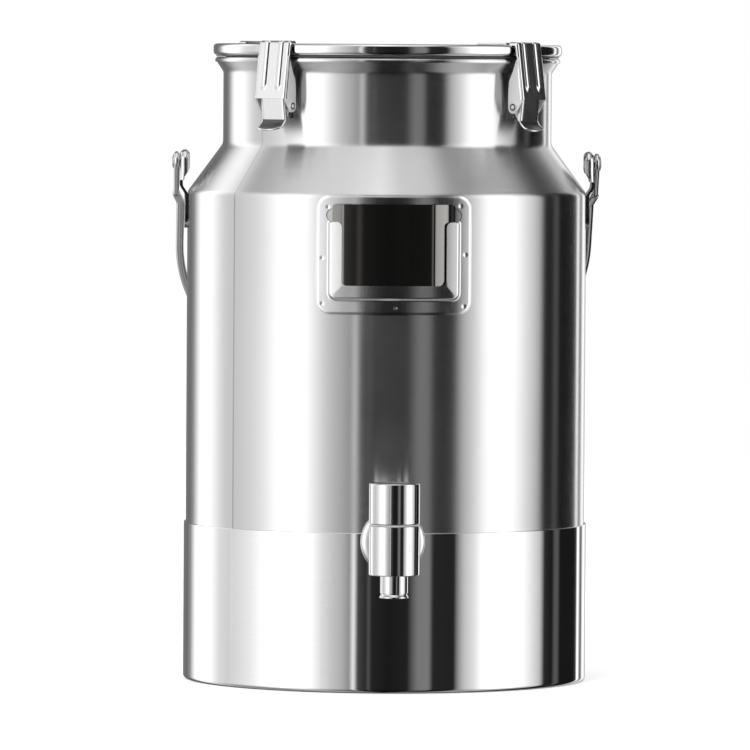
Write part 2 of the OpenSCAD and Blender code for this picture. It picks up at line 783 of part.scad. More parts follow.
module tap_knob() {
    color("gainsboro") translate([0, tap_y, 0]) difference() {
        translate([0, 0, knob_low]) rotate_extrude()
            polygon([[0, 0], [tap_r - 0.4, 0], [tap_r, 0.4], [tap_r, knob_h - 0.8],
                [tap_r - 0.8, knob_h], [0, knob_h]]);
        translate([0, 0, knob_low - cut]) cylinder(d = stem_d, h = stem_in + cut);
        translate([0, 0, screw_z]) rotate([-90, 0, 0]) cylinder(r = screw_r, h = tap_d);
    }
}

module knob_set_screw() {
    color("darkgray") translate([0, tap_y, screw_z]) rotate([-90, 0, 0])
        translate([0, 0, stem_d / 2]) cylinder(r = screw_r, h = screw_l);
}

body_shell();
tank_bottom();
base_skirt();
label_holder();
label_plate();
ear();  // ear_right
mirror([1, 0, 0]) ear();  // ear_left
ear_pin();  // ear_pin_right
mirror([1, 0, 0]) ear_pin();  // ear_pin_left
bail();
latch_base(1);  // latch_base_1
latch_base(2);  // latch_base_2
latch_base(3);  // latch_base_3
latch_base(4);  // latch_base_4
latch_base_pin(1);  // latch_base_pin_1
latch_base_pin(2);  // latch_base_pin_2
latch_base_pin(3);  // latch_base_pin_3
latch_base_pin(4);  // latch_base_pin_4
latch_lever(1);  // latch_lever_1
latch_lever(2);  // latch_lever_2
latch_lever(3);  // latch_lever_3
latch_lever(4);  // latch_lever_4
latch_claw(1);  // latch_claw_1
latch_claw(2);  // latch_claw_2
latch_claw(3);  // latch_claw_3
latch_claw(4);  // latch_claw_4
latch_claw_pin(1);  // latch_claw_pin_1
latch_claw_pin(2);  // latch_claw_pin_2
latch_claw_pin(3);  // latch_claw_pin_3
latch_claw_pin(4);  // latch_claw_pin_4
lid_cover();
lid_gasket();
tap_body();
tap_flange();
tap_outer_seal();
tap_inner_seal();
tap_lock_nut();
tap_nozzle();
tap_plug();
plug_o_rings();
plug_gland();
knob_washer();
tap_knob();
knob_set_screw();
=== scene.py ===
import json
from math import asin, atan2, ceil, cos, degrees, exp, hypot, pi, radians, sin, sqrt, tan, tau
import bmesh
import bpy
from mathutils import Matrix, Vector
from mathutils.geometry import delaunay_2d_cdt
from mathutils.kdtree import KDTree


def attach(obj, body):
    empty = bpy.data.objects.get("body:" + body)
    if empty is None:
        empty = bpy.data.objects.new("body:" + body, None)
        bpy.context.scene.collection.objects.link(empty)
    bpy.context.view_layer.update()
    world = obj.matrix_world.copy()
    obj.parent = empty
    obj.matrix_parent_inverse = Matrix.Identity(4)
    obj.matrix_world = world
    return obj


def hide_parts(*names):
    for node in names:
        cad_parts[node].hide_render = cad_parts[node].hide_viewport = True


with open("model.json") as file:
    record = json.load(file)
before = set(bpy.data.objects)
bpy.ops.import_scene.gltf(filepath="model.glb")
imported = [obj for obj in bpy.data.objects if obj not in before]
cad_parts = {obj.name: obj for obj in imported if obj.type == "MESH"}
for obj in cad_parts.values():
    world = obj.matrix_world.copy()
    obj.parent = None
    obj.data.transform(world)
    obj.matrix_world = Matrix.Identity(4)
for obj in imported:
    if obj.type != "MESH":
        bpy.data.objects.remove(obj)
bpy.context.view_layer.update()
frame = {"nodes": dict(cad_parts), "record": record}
cadNodes = frame["nodes"]
print("frame loaded:", len(cadNodes), "nodes")

# All sizes below are in millimetres, and finished meshes are scaled to metres once
toMetres = 0.001
tiny = 1e-6


# Node wiring
class Link:
    # an output socket that takes part in plain sums
    def __init__(self, nodes, socket):
        self.nodes = nodes
        self.socket = socket

    def output(self, key):
        return Link(self.nodes, self.socket.node.outputs[key])

    def sum(self, operation, first, second):
        return self.nodes.add("ShaderNodeMath", {0: first, 1: second}, {"operation": operation})


def addOperators(name, operation):
    setattr(Link, f"__{name}__", lambda self, other: self.sum(operation, self, other))
    setattr(Link, f"__r{name}__", lambda self, other: self.sum(operation, other, self))


for name, operation in (("add", "ADD"), ("sub", "SUBTRACT"), ("mul", "MULTIPLY"), ("truediv", "DIVIDE")):
    addOperators(name, operation)


class NodeTree:
    def __init__(self, tree):
        self.tree = tree
        tree.nodes.clear()

    # a list of links goes into one socket
    def add(self, kind, inputs=None, settings=None, output=0):
        node = self.tree.nodes.new(kind)
        for key, value in (settings or {}).items():
            if key == "stops":
                self.fillRamp(node.color_ramp, value)
            else:
                setattr(node, key, value)
        for key, value in (inputs or {}).items():
            for item in value if isinstance(value, list) else [value]:
                if isinstance(item, Link):
                    self.tree.links.new(item.socket, node.inputs[key])
                else:
                    node.inputs[key].default_value = item
        return Link(self, node.outputs[output]) if len(node.outputs) else None

    def fillRamp(self, ramp, stops):
        for place, level in stops[1:-1]:
            ramp.elements.new(place).color = (level, level, level, 1)
        for element, (place, level) in ((ramp.elements[0], stops[0]), (ramp.elements[-1], stops[-1])):
            element.position = place
            element.color = (level, level, level, 1)

    def place(self):
        return self.add("ShaderNodeTexCoord", output=3)

    def noise(self, scale, detail):
        stretched = self.add("ShaderNodeMapping", {"Vector": self.place(), "Scale": scale})
        return self.add("ShaderNodeTexNoise", {"Vector": stretched, "Scale": 1, "Detail": detail})

    def ranged(self, value, low, high, outLow, outHigh):
        return self.add("ShaderNodeMapRange", {"Value": value, "From Min": low, "From Max": high, "To Min": outLow,
            "To Max": outHigh}, {"interpolation_type": "SMOOTHSTEP"})

    def tinted(self, factor, dark, light):
        light = light if isinstance(light, Link) else (*light, 1)
        return self.add("ShaderNodeMix", {0: factor, 6: (*dark, 1), 7: light}, {"data_type": "RGBA"}, output=2)

    # the end of a material: the surface, bumped by a height
    def close(self, height, inputs):
        bump = self.add("ShaderNodeBump", {"Height": height, "Distance": 0.001, "Strength": 1.0})
        surface = self.add("ShaderNodeBsdfPrincipled", {**inputs, "Normal": bump})
        self.add("ShaderNodeOutputMaterial", {"Surface": surface})


def newMaterial(name):
    material = bpy.data.materials.new(name)
    material.use_nodes = True
    return material, NodeTree(material.node_tree)


# Every metal: hairlines or a slow ripple in the normal, smudges in the roughness and a slight tone change.
# Shares of the tone and of the noises, and the part of a noise's range that the change is spread over
metal = {"lighter": 0.02, "darker": 0.025, "warmGreen": 0.4, "blotch": (9, 9, 7), "low": 0.3, "high": 0.7,
    "more": 0.6, "less": 0.4}


def metalFinish(name, tone, roughness, grain, grainDepth, ripple=(25, 25, 25), rippleDepth=0.0,
        smudge=0.3, warm=0.0, anisotropic=0.0, turn=0.0, metallic=1.0, seam=None):
    material, shader = newMaterial(name)
    lines = shader.noise(grain, 4)
    blotch = shader.noise(metal["blotch"], 3)
    wave = shader.noise(ripple, 1)
    tints = (0, warm * metal["warmGreen"], warm)
    light = tuple(min(1, tone * (1 + metal["lighter"] - share)) for share in tints)
    dark = tuple(tone * (1 - metal["darker"] - share) for share in tints)
    low, high, more, less = metal["low"], metal["high"], metal["more"], metal["less"]
    colour = shader.tinted(shader.ranged(lines * more + blotch * less, low, high, 0, 1), dark, light)
    if seam:
        # the lengthwise weld is a shade darker than the sheet, and ground out from the shoulder up
        x = shader.add("ShaderNodeSeparateXYZ", {0: shader.place()})
        y, z = x.output(1), x.output(2)
        a = radians(seam["turn"])
        off = x.sum("ABSOLUTE", y * cos(a) - x * sin(a), 0)
        far = shader.ranged(x * cos(a) + y * sin(a), 0, seam["otherSide"], 1, 0)
        faint = shader.ranged(z, *seam["faintAt"], 0, seam["faint"])
        clear = x.sum("MAXIMUM", shader.ranged(off, *seam["edge"], 0, 1), far)
        clear = x.sum("MAXIMUM", clear, faint)
        colour = shader.tinted(clear, [c * seam["shade"] for c in dark], colour)
    shine = shader.ranged(blotch * more + lines * less, low, high, 0, 1) * (roughness * smudge * 2)
    shader.close(lines * grainDepth + wave * rippleDepth, {
        "Base Color": colour, "Roughness": roughness * (1 - smudge) + shine, "Metallic": metallic,
        "Anisotropic": anisotropic, "Anisotropic Rotation": turn})
    return material


# Rubber and plastic: dull, with fine mould texture and a dusty tone in patches
moulded = {"specks": (2600, 2600, 2600), "patches": (60, 60, 60), "darker": 0.9, "lighter": 1.08, "dust": 0.004,
    "rougher": 0.15, "depth": 0.02, "coatRoughness": 0.3}


def mouldedFinish(name, colour, roughness, coat=0.0):
    material, shader = newMaterial(name)
    specks = shader.noise(moulded["specks"], 2)
    patches = shader.noise(moulded["patches"], 3)
    dark = tuple(c * moulded["darker"] for c in colour)
    light = tuple(min(1, c * moulded["lighter"] + moulded["dust"]) for c in colour)
    low, high, change = metal["low"], metal["high"], moulded["rougher"]
    tint = shader.tinted(shader.ranged(patches * 0.7 + specks * 0.3, low, high, 0, 1), dark, light)
    shine = shader.ranged(specks * 0.5 + patches * 0.5, low, high, roughness * (1 - change),
        min(1, roughness * (1 + change)))
    shader.close(specks * moulded["depth"], {"Base Color": tint, "Roughness": shine, "Coat Weight": coat,
        "Coat Roughness": moulded["coatRoughness"]})
    return material


finishes = {
    "brushed_steel": metalFinish("brushedPailSteel", 0.7, 0.24, (24, 24, 3600), 0.0018, (10, 10, 6), 0.02,
        smudge=0.14, anisotropic=1.0, turn=0.25,
        seam={"turn": -140.9, "edge": (0.0004, 0.001), "otherSide": 0.01, "shade": 0.66, "faintAt": (0.288, 0.294),
        "faint": 0.75}),
    "satin_steel": metalFinish("satinTankSteel", 0.68, 0.34, (1400, 60, 1400), 0.02, smudge=0.2),
    "mirror_band": metalFinish("polishedBandSteel", 0.76, 0.05, (30, 30, 5000), 0.0001, (16, 16, 3), 0.03),
    "lid_steel": metalFinish("polishedLidSteel", 0.76, 0.09, (40, 40, 2200), 0.001, (30, 30, 30), 0.01),
    "label_frame_steel": metalFinish("pressedFrameSteel", 0.74, 0.17, (1200, 90, 90), 0.003, (45, 45, 60), 0.06),
    "label_plate_steel": metalFinish("mirrorPlateSteel", 0.42, 0.05, (30, 30, 1800), 0.0005, (60, 60, 6), 0.008,
        warm=0.08),
    "bail_steel": metalFinish("polishedRodSteel", 0.7, 0.13, (900, 900, 900), 0.002),
    "pin_steel": metalFinish("rivetSteel", 0.72, 0.14, (1500, 1500, 1500), 0.002),
    "latch_steel": metalFinish("pressedLatchSteel", 0.72, 0.07, (700, 700, 40), 0.001, (120, 120, 60), 0.012,
        smudge=0.35),
    # near-black steel on the scoop's tongue: painted shade in the hollow under the lever's edge
    "scoop_painted_shade": metalFinish("scoopPaintedShadeSteel", 0.17, 0.3, (900, 900, 900), 0.004),
    # near-black steel for the discs under the rivet heads: painted shade of the gap round each head
    "rivet_painted_shade": metalFinish("rivetPaintedShadeSteel", 0.05, 0.5, (900, 900, 900), 0.004, smudge=0.2, metallic=0.5),
    "latch_sides": metalFinish("satinLatchSides", 0.86, 0.6, (900, 900, 900), 0.012, smudge=0.2, metallic=0.6),
    # a dark grey seal, whose darkness also paints the shade in the groove under the lid's edge
    "gasket_silicone": mouldedFinish("siliconeSeal", (0.07, 0.07, 0.072), 0.5, coat=0.15),
    "seal_rubber": mouldedFinish("blackSealRubber", (0.045, 0.045, 0.047), 0.7),
    "washer_plastic": mouldedFinish("slipWasherPlastic", (0.76, 0.76, 0.74), 0.42, coat=0.2),
    "machined_steel": metalFinish("turnedSteel", 0.64, 0.26, (300, 300, 5200), 0.004, smudge=0.2),
    "tap_chrome": metalFinish("polishedTapSteel", 0.64, 0.09, (20, 20, 4200), 0.0004, (90, 90, 12), 0.004)}
print("finishes made:", len(finishes))


# Points and paths
def arc(x, y, radius, start, sweep, steps, tall=None):
    turns = [radians(start + sweep * k / steps) for k in range(steps + 1)]
    return [Vector((x + radius * cos(a), y + (tall or radius) * sin(a))) for a in turns]


def mirrored(path):
    return [Vector((-p.x, p.y)) for p in reversed(path)]


def leftOf(way):
    return Vector((-way.y, way.x))


def runAt(path, i):
    return (path[min(i + 1, len(path) - 1)] - path[max(i - 1, 0)]).normalized()


def smoothStep(value):
    value = max(0.0, min(1.0, value))
    return value * value * (3 - 2 * value)


# Points (x, y) and (x, y, radius), the latter rounded
def roundCorners(points, closed=False, fineness=9):
    out = []
    count = len(points)
    for i, (x, y, *fold) in enumerate(points):
        here = Vector((x, y))
        if not any(fold) or (not closed and i in (0, count - 1)):
            out.append(here)
            continue
        u = (Vector(points[i - 1][:2]) - here).normalized()
        v = (Vector(points[(i + 1) % count][:2]) - here).normalized()
        half = u.angle(v) / 2
        middle = here + (u + v).normalized() * (fold[0] / sin(half))
        start = here + u * (fold[0] / tan(half)) - middle
        end = here + v * (fold[0] / tan(half)) - middle
        sweep = atan2(start.x * end.y - start.y * end.x, start.dot(end))
        steps = max(4, round(abs(degrees(sweep)) / fineness))
        out += [middle + Matrix.Rotation(sweep * k / steps, 2) @ start for k in range(steps + 1)]
    return out


# Extra points on long straight runs, close to both ends, so that smooth shading stays inside the bends
def eased(path, step=12.0, margin=0.5, closed=False):
    out = []
    for a, b in zip(path, path[1:] + (path[:1] if closed else [])):
        out.append(a)
        length = (b - a).length
        if length > 3 * margin:
            inner = max(1, ceil((length - 2 * margin) / step))
            along = [margin + (length - 2 * margin) * k / inner for k in range(inner + 1)]
            out += [a.lerp(b, d / length) for d in along]
    return out if closed else out + path[-1:]


def evenTurns(count, extra=()):
    turns = [tau * k / count for k in range(count)] + list(extra)
    return sorted({round(a % tau, 9) for a in turns})


# Mesh helpers. Rings of points are joined by faces; a ring of one point is a pole, and open ends are capped
def bridge(mesh, rings, closed=False):
    count = max(len(ring) for ring in rings)
    for low, high in zip(rings, rings[1:] + (rings[:1] if closed else [])):
        for k in range(count):
            n = (k + 1) % count
            corners = [low[k % len(low)], low[n % len(low)], high[n % len(high)], high[k % len(high)]]
            corners = list(dict.fromkeys(corners))
            if len(corners) > 2:
                mesh.faces.new(corners)
    return [] if closed else [mesh.faces.new(rings[0]), mesh.faces.new(rings[-1][::-1])]


def aboutAxis(r, a, h):
    return Vector((r * cos(a), r * sin(a), h))


def tube(mesh, path, radii, sides=28, closed=False):
    count = len(path)
    radii = radii if isinstance(radii, list) else [radii] * count
    side, rings = (path[1] - path[0]).orthogonal(), []
    for i, (point, radius) in enumerate(zip(path, radii)):
        tangent = (path[(i + 1) % count] - path[i - 1]).normalized() if closed else runAt(path, i)
        side = (side - tangent * side.dot(tangent)).normalized()
        up = side.cross(tangent)
        rings.append([mesh.verts.new(point + (side * cos(a) + up * sin(a)) * radius)
            for a in evenTurns(sides)])
    bridge(mesh, rings, closed)


def insideLoops(x, y, loops):
    hit = False
    for loop in loops:
        for (ax, ay), (bx, by) in zip(loop, loop[1:] + loop[:1]):
            if (ay > y) != (by > y) and x < (bx - ax) * (y - ay) / (by - ay) + ax:
                hit = not hit
    return hit


# A sheet cut to flat outlines (the first is its edge, the others are holes) and laid in space by place(x, y, height)
# at the heights of its two faces
def pressedSheet(mesh, loops, step, place, back, front):
    points, edges = [], []
    for loop in loops:
        first = len(points)
        for a, b in zip(loop, loop[1:] + loop[:1]):
            parts = max(1, ceil((b - a).length / step))
            points += [a.lerp(b, k / parts) for k in range(parts)]
        count = len(points) - first
        edges += [(first + k, first + (k + 1) % count) for k in range(count)]
    lowX, highX = min(p.x for p in points), max(p.x for p in points)
    lowY, highY = min(p.y for p in points), max(p.y for p in points)
    flat = [[(p.x, p.y) for p in loop] for loop in loops]
    rim = KDTree(len(points))
    for i, p in enumerate(points):
        rim.insert(p.to_3d(), i)
    rim.balance()
    for row in range(1, int((highY - lowY) / step) + 1):
        for column in range(int((highX - lowX) / step) + 1):
            x = lowX + (column + 0.5 * (row % 2)) * step
            y = lowY + row * step
            if insideLoops(x, y, flat) and rim.find((x, y, 0))[2] >= step * 0.55:
                points.append(Vector((x, y)))
    verts, _, faces, _, _, _ = delaunay_2d_cdt(points, edges, [], 0, tiny)
    tops, bottoms = ([mesh.verts.new(place(p.x, p.y, height(p.x, p.y))) for p in verts] for height in (front, back))
    used = []
    for face in faces:
        middle = sum((verts[i] for i in face), Vector((0, 0))) / len(face)
        if insideLoops(middle.x, middle.y, flat):
            mesh.faces.new([tops[i] for i in face])
            mesh.faces.new([bottoms[i] for i in reversed(face)])
            used += zip(face, face[1:] + face[:1])
    for a, b in set(used) - {(b, a) for a, b in used}:
        mesh.faces.new([tops[b], tops[a], bottoms[a], bottoms[b]])
    for vertex in [v for v in tops + bottoms if not v.link_faces]:
        mesh.verts.remove(vertex)


# A closed section of (across, depth) points carried along a path in the plane of (out, up)
def channel(mesh, path, section, local, lift=lambda across, depth, i: 0):
    rings = []
    for i, point in enumerate(path):
        out = leftOf(runAt(path, i))
        spots = [(across, point + out * (lift(across, depth, i) - depth)) for across, depth in section]
        rings.append([mesh.verts.new(local(spot.x, across, spot.y)) for across, spot in spots])
    bridge(mesh, rings)


# A flat shape with softened edges, laid between two depths by place(x, y, depth)
def slab(mesh, outline, low, high, place, soften):
    area = sum(a.x * b.y - b.x * a.y for a, b in zip(outline, outline[1:] + outline[:1]))
    loop = outline if area > 0 else outline[::-1]
    small = []
    for before, here, after in zip(loop[-1:] + loop, loop, loop[1:] + loop[:1]):
        inward = leftOf((here - before).normalized()) + leftOf((after - here).normalized())
        small.append(here + inward.normalized() * soften)
    rings = [[mesh.verts.new(place(p.x, p.y, depth)) for p in ring] for ring, depth in (
        (small, low), (loop, low + soften), (loop, high - soften), (small, high))]
    bmesh.ops.triangulate(mesh, faces=bridge(mesh, rings))


def addObject(name, data):
    made = bpy.data.objects.new(name, data)
    bpy.context.scene.collection.objects.link(made)
    return made


def meshData(name, mesh):
    bmesh.ops.recalc_face_normals(mesh, faces=mesh.faces)
    data = bpy.data.meshes.new(name)
    mesh.to_mesh(data)
    mesh.free()
    data.transform(Matrix.Scale(toMetres, 4))
    return data


# The mesh of an object once its modifier is applied
def settledMesh(item, name):
    bpy.context.view_layer.update()
    data = bpy.data.meshes.new_from_object(item.evaluated_get(bpy.context.evaluated_depsgraph_get()))
    data.name = name
    return data


def dressPiece(piece, body, nodes=()):
    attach(piece, body)
    if nodes:
        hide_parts(*nodes)
    return piece


def finishPiece(name, mesh, body, slotName, nodes=(), sharp=32, finish=None):
    bmesh.ops.remove_doubles(mesh, verts=mesh.verts, dist=1e-4)
    data = meshData(name, mesh)
    data.shade_smooth()
    data.set_sharp_from_angle(angle=radians(sharp))
    data.materials.append(finishes[finish or slotName])
    return dressPiece(addObject(name, data), body, nodes)


# A closed outline of (radius, height) points turned about the upright axis, or about another by place
def turned(name, outline, turns, body, slotName, nodes, place=aboutAxis, relief=lambda r, a, h: 0, sharp=32):
    mesh = bmesh.new()
    bridge(mesh, [[mesh.verts.new(place(r + relief(r, a, h), a, h)) for a in (turns if r > tiny else [0])]
        for r, h in outline], closed=True)
    return finishPiece(name, mesh, body, slotName, nodes, sharp)


# A round hole through a finished piece
def cutHole(piece, start, end, radius):
    mesh = bmesh.new()
    tube(mesh, [Vector(start), Vector(end)], radius, 48)
    drill = addObject("drill", meshData("drill", mesh))
    cutter = piece.modifiers.new("hole", "BOOLEAN")
    cutter.operation = "DIFFERENCE"
    cutter.solver = "EXACT"
    cutter.object = drill
    shaped = settledMesh(piece, piece.name)
    piece.modifiers.clear()
    piece.data = shaped
    bpy.data.objects.remove(drill)
    shaped.set_sharp_from_angle(angle=radians(32))


# Pail: neck, shoulder and tank wall in one spun sheet, with the lengthwise weld and a beaded mouth
pail = {"bodyRadius": 120.0, "wall": 1.0, "shoulderLow": 293.0, "shoulderHigh": 322.0, "neckRadius": 98.75,
    "mouthLow": 366.0, "mouthTop": 374.0, "flare": 3.0, "beadRadius": 2.0, "beadStart": -30, "beadSweep": 230,
    "beadOutside": (1.25, -0.6), "beadInside": (-1.55, 0.3), "fold": 5.0, "mouthFold": 4.0, "foldDrop": 0.4,
    "tankEnd": 66.0, "weldTurn": -140.9, "weldWidth": 1.1, "weldHeight": 0.07, "groundShare": 0.2,
    "groundFrom": 289.0, "holeRadius": 8.5, "shankHeight": 89.8, "mouthInside": 365.4}


# Turns for a lathe, with more of them over the weld
def turnsWithWeld(count, size, radius):
    half = degrees(size["weldWidth"] * 1.1 / radius)
    return evenTurns(count, [radians(size["weldTurn"] + half * share)
        for share in (-1, -0.7, -0.45, -0.2, 0, 0.2, 0.45, 0.7, 1)])


def weldRelief(size):
    middle = radians(size["weldTurn"])

    # the weld is ground nearly flush on the shoulder and the neck
    def relief(r, a, h):
        off = abs((a - middle + pi) % tau - pi) * r
        height = size["weldHeight"] * (pail["groundShare"] if h > pail["groundFrom"] else 1)
        return height * max(0, cos(pi / 2 * min(1, off / size["weldWidth"]))) ** 2
    return relief


def shankHole(piece, depth):
    cutHole(piece, (0, -depth, pail["shankHeight"]), (0, -130, pail["shankHeight"]), pail["holeRadius"])


def makeBodyShell():
    body, neck, wall, fold = pail["bodyRadius"], pail["neckRadius"], pail["wall"], pail["fold"]
    low, high = pail["shoulderLow"], pail["shoulderHigh"]
    bead = Vector((neck + pail["flare"], pail["mouthTop"] - pail["beadRadius"]))
    outer = roundCorners([(body, pail["tankEnd"]), (body, low, fold), (neck, high, fold + wall),
        (neck, pail["mouthLow"] - wall, pail["mouthFold"]), bead + Vector(pail["beadOutside"])])
    drop = pail["foldDrop"]
    inner = roundCorners([(body - wall, pail["tankEnd"]), (body - wall, low - drop, fold - wall),
        (neck - wall, high - drop, fold + 2 * wall), (neck - wall, pail["mouthInside"], pail["mouthFold"] + wall),
        bead + Vector(pail["beadInside"])])
    outline = eased(outer) + arc(*bead, pail["beadRadius"], pail["beadStart"], pail["beadSweep"], 22)
    shankHole(turned("bodyShell", outline + eased(inner)[::-1], turnsWithWeld(288, pail, body), "pail",
        "brushed_steel", ["body_shell"], relief=weldRelief(pail)), 100)


# Polished skirt sleeved over the tank, turned in at the foot
skirt = {"radius": 121.2, "height": 94.5, "footWidth": 9.0, "footFold": 2.5, "topFold": 0.45, "inner": 120.2,
    "innerFold": 1.5, "lip": 3.0, "lipRise": 0.5, "weldTurn": -140.9, "weldWidth": 0.8, "weldHeight": 0.03}


def makeBaseSkirt():
    wall, body = pail["wall"], pail["bodyRadius"]
    radius, height, inside = skirt["radius"], skirt["height"], skirt["inner"]
    foot, lip = radius - skirt["footWidth"], height - skirt["lip"]
    outer = roundCorners([(foot, 0), (radius, 0, skirt["footFold"]), (radius, height, skirt["topFold"]),
        (body, height)])
    inner = roundCorners([(foot, wall), (inside, wall, skirt["innerFold"]), (inside, lip),
        (body, lip + skirt["lipRise"])])
    shankHole(turned("baseSkirt", eased(outer, step=10) + eased(inner)[::-1], turnsWithWeld(320, skirt, radius),
        "pail", "mirror_band", ["base_skirt"], relief=weldRelief(skirt)), 110)


makeBodyShell()
makeBaseSkirt()
print("pail and skirt turned")

# Lid: wired edge, web, plug wall and a stepped panel, with the joint across its edge; its seal below
lid = {"beadRadius": 3.5, "beadMiddle": 101.3, "low": 375.0, "square": 3.4, "beadStart": -152, "beadSweep": 255,
    "webHeight": 375.3, "webEnd": (98.6, 98.2), "sheet": 1.0, "plugRadius": 96.5, "plugHeight": 364.3,
    "panelRadius": 75.0, "panelRise": 4.0, "panelRun": 5.0, "dish": (48.0, 45.0), "dishDepth": 1.4,
    "weldTurn": -140.0, "weldWidth": 0.5, "weldHeight": -0.14}
seal = {"inner": 96.5, "wall": 97.3, "outer": 103.15, "upper": 99.8, "low": 368.3, "chamfer": 0.5, "gap": 0.2,
    "edgeTop": 374.9, "top": 375.3}


def makeLid():
    sheet, plug, web = lid["sheet"], lid["plugRadius"], lid["webHeight"]
    panel, run, floor = lid["panelRadius"], lid["panelRun"], lid["plugHeight"]
    outerDish, innerDish = lid["dish"]
    raised = floor + lid["panelRise"]
    sunk = raised - lid["dishDepth"]
    upper = roundCorners([(lid["webEnd"][1], web + sheet), (plug - sheet, web + sheet, 1.5),
        (plug - sheet, floor + sheet, 3), (panel, floor + sheet, 3),
        (panel - run, raised + sheet, 3), (outerDish, raised + sheet, 3),
        (innerDish, sunk + sheet, 3), (0, sunk + sheet)])
    lower = roundCorners([(lid["webEnd"][0], web), (plug, web, 0.5), (plug, floor, 4), (panel, floor, 2),
        (panel - run, raised, 4), (outerDish + 0.5, raised, 3), (innerDish + 0.5, sunk, 3), (0, sunk)])
    # the edge is rolled a little square, with a flat face outside
    middle = Vector((lid["beadMiddle"], lid["low"] + lid["beadRadius"]))
    power = lid["square"]
    bead = [middle + p * (lid["beadRadius"] * (abs(p.x) ** power + abs(p.y) ** power) ** (-1 / power))
        for p in arc(0, 0, 1, lid["beadStart"], lid["beadSweep"], 48)]
    relief = weldRelief(lid)
    turned("lidCover", eased(lower[::-1], step=8) + bead + eased(upper, step=8), turnsWithWeld(256, lid, middle.x),
        "lid", "lid_steel", ["lid_cover"], relief=lambda r, a, h: relief(r, a, h) if r > middle.x else 0)
    foot = pail["mouthTop"] + seal["gap"]
    chamfer = seal["chamfer"]
    outline = roundCorners([(seal["inner"], seal["low"]), (seal["wall"], seal["low"] + chamfer, 0.3),
        (seal["wall"], foot, 0.3), (seal["outer"], foot, 0.3),
        (seal["outer"], seal["edgeTop"], 0.2), (seal["upper"], seal["edgeTop"]),
        (seal["upper"], seal["top"]), (seal["inner"] + chamfer, seal["top"]),
        (seal["inner"], seal["top"] - chamfer)], closed=True)
    turned("lidSeal", outline, evenTurns(192), "lid", "gasket_silicone", ["lid_gasket"])


makeLid()
print("lid turned")

# Label holder: one sheet spot-welded to the body, pressed out into a pocket, with a loose plate inside
label = {"width": 92.4, "height": 70.0, "low": 223.0, "sheet": 0.8, "corner": 8.0, "rise": 3.1, "pocketWidth": 78.4,
    "pocketLow": 231.0, "pocketCorner": 5.0, "railTop": 277.4, "windowWidth": 61.0, "windowLow": 240.0,
    "openingTop": 288.2, "openingWidth": 73.0, "notch": 4.0, "notchIn": 0.3, "bevel": 1.9, "gentleRise": 0.8,
    "gentleWidth": 8.7, "step": 0.62, "seat": 0.04, "edgeDrop": 0.55, "edgeWidth": 1.5,
    "dimples": ((-39.2, 286.2), (39.4, 287.0), (-42.6, 256.2), (42.4, 258.4), (-42.4, 229.4), (0.9, 227.0),
    (41.6, 228.0)), "dimpleRadius": 0.95, "dimpleDepth": 0.5, "dimpleFall": 2.2,
    "middleRadius": 121.5, "folds": (3.2, 3.0, 2.6)}


def onBody(x, z, height):
    radius = pail["bodyRadius"] + height
    turn = asin(max(-1, min(1, x / label["middleRadius"])))
    return Vector((radius * sin(turn), -radius * cos(turn), z))


def roundedBox(half, low, high, corner):
    return roundCorners([(-half, low, corner), (half, low, corner), (half, high, corner), (-half, high, corner)],
        closed=True, fineness=12)


# How far a point lies inside two edges that meet in a round corner
def insideCorner(inX, inZ, corner):
    if inX < corner and inZ < corner:
        return corner - hypot(corner - inX, corner - inZ)
    return min(inX, inZ)


# The pocket is open at the top; it is steep at its outline, then rises gently to the window
def pocketHeight(x, z):
    if z > label["railTop"] + 0.01:
        return 0.0
    inside = insideCorner(label["pocketWidth"] / 2 - abs(x), z - label["pocketLow"], label["pocketCorner"])
    gentle = label["gentleRise"]
    steep = (label["rise"] - label["sheet"] - gentle) * smoothStep(inside / label["bevel"])
    return steep + gentle * max(0.0, min(1.0, inside / label["gentleWidth"]))


def holderHeight(x, z):
    height = pocketHeight(x, z)
    for px, pz in label["dimples"]:
        off = hypot(x - px, z - pz) / label["dimpleRadius"]
        if off < 1.6:
            height -= label["dimpleDepth"] * exp(-label["dimpleFall"] * off * off)
    inZ = min(z - label["low"], label["low"] + label["height"] - z)
    edge = insideCorner(label["width"] / 2 - abs(x), inZ, label["corner"])
    return height - label["edgeDrop"] * (1 - smoothStep(edge / label["edgeWidth"]))


def makeLabelHolder():
    edge = roundedBox(label["width"] / 2, label["low"], label["low"] + label["height"], label["corner"])
    window, opening, rail = label["windowWidth"] / 2, label["openingWidth"] / 2, label["railTop"]
    notch, middle = label["notch"], opening - label["notchIn"]
    lowFold, railFold, topFold = label["folds"]
    right = [(window, label["windowLow"], lowFold), (window, rail, railFold), (middle, rail)]
    right += [p for p in arc(middle, rail + notch, notch, -90, 180, 12) if p.x > opening + 0.05]
    right += [(opening, rail + 2 * notch + 0.1), (opening, label["openingTop"], topFold)]
    left = [(-x, *rest) for x, *rest in reversed(right)]
    mesh = bmesh.new()
    pressedSheet(mesh, [edge, roundCorners(right + left, closed=True, fineness=12)], label["step"],
        onBody, lambda x, z: label["seat"] + max(0, pocketHeight(x, z)),
        lambda x, z: label["sheet"] + holderHeight(x, z))
    finishPiece("labelHolder", mesh, "pail", "label_frame_steel", ["label_holder"], sharp=50)


plate = {"width": 72.2, "low": 232.1, "high": 287.8, "sheet": 0.8, "gap": 0.2, "step": 1.0, "corner": 2.4,
    "flatter": 0.0014, "curveEnd": 30.5, "riseAt": 8.0, "riseBack": 0.05, "bendAt": 22.4, "bendBack": 0.31,
    "bendEnd": 31.5, "bendWidth": 1.6, "bulgeLow": 233.0, "bulgeRun": 7.0}


# How far a soft bend at a place has moved the sheet by x
def bentBy(x, at, slope):
    past = max(0.0, x - at)
    soft = min(past, plate["bendWidth"])
    return slope * (soft * soft / (2 * plate["bendWidth"]) + past - soft)


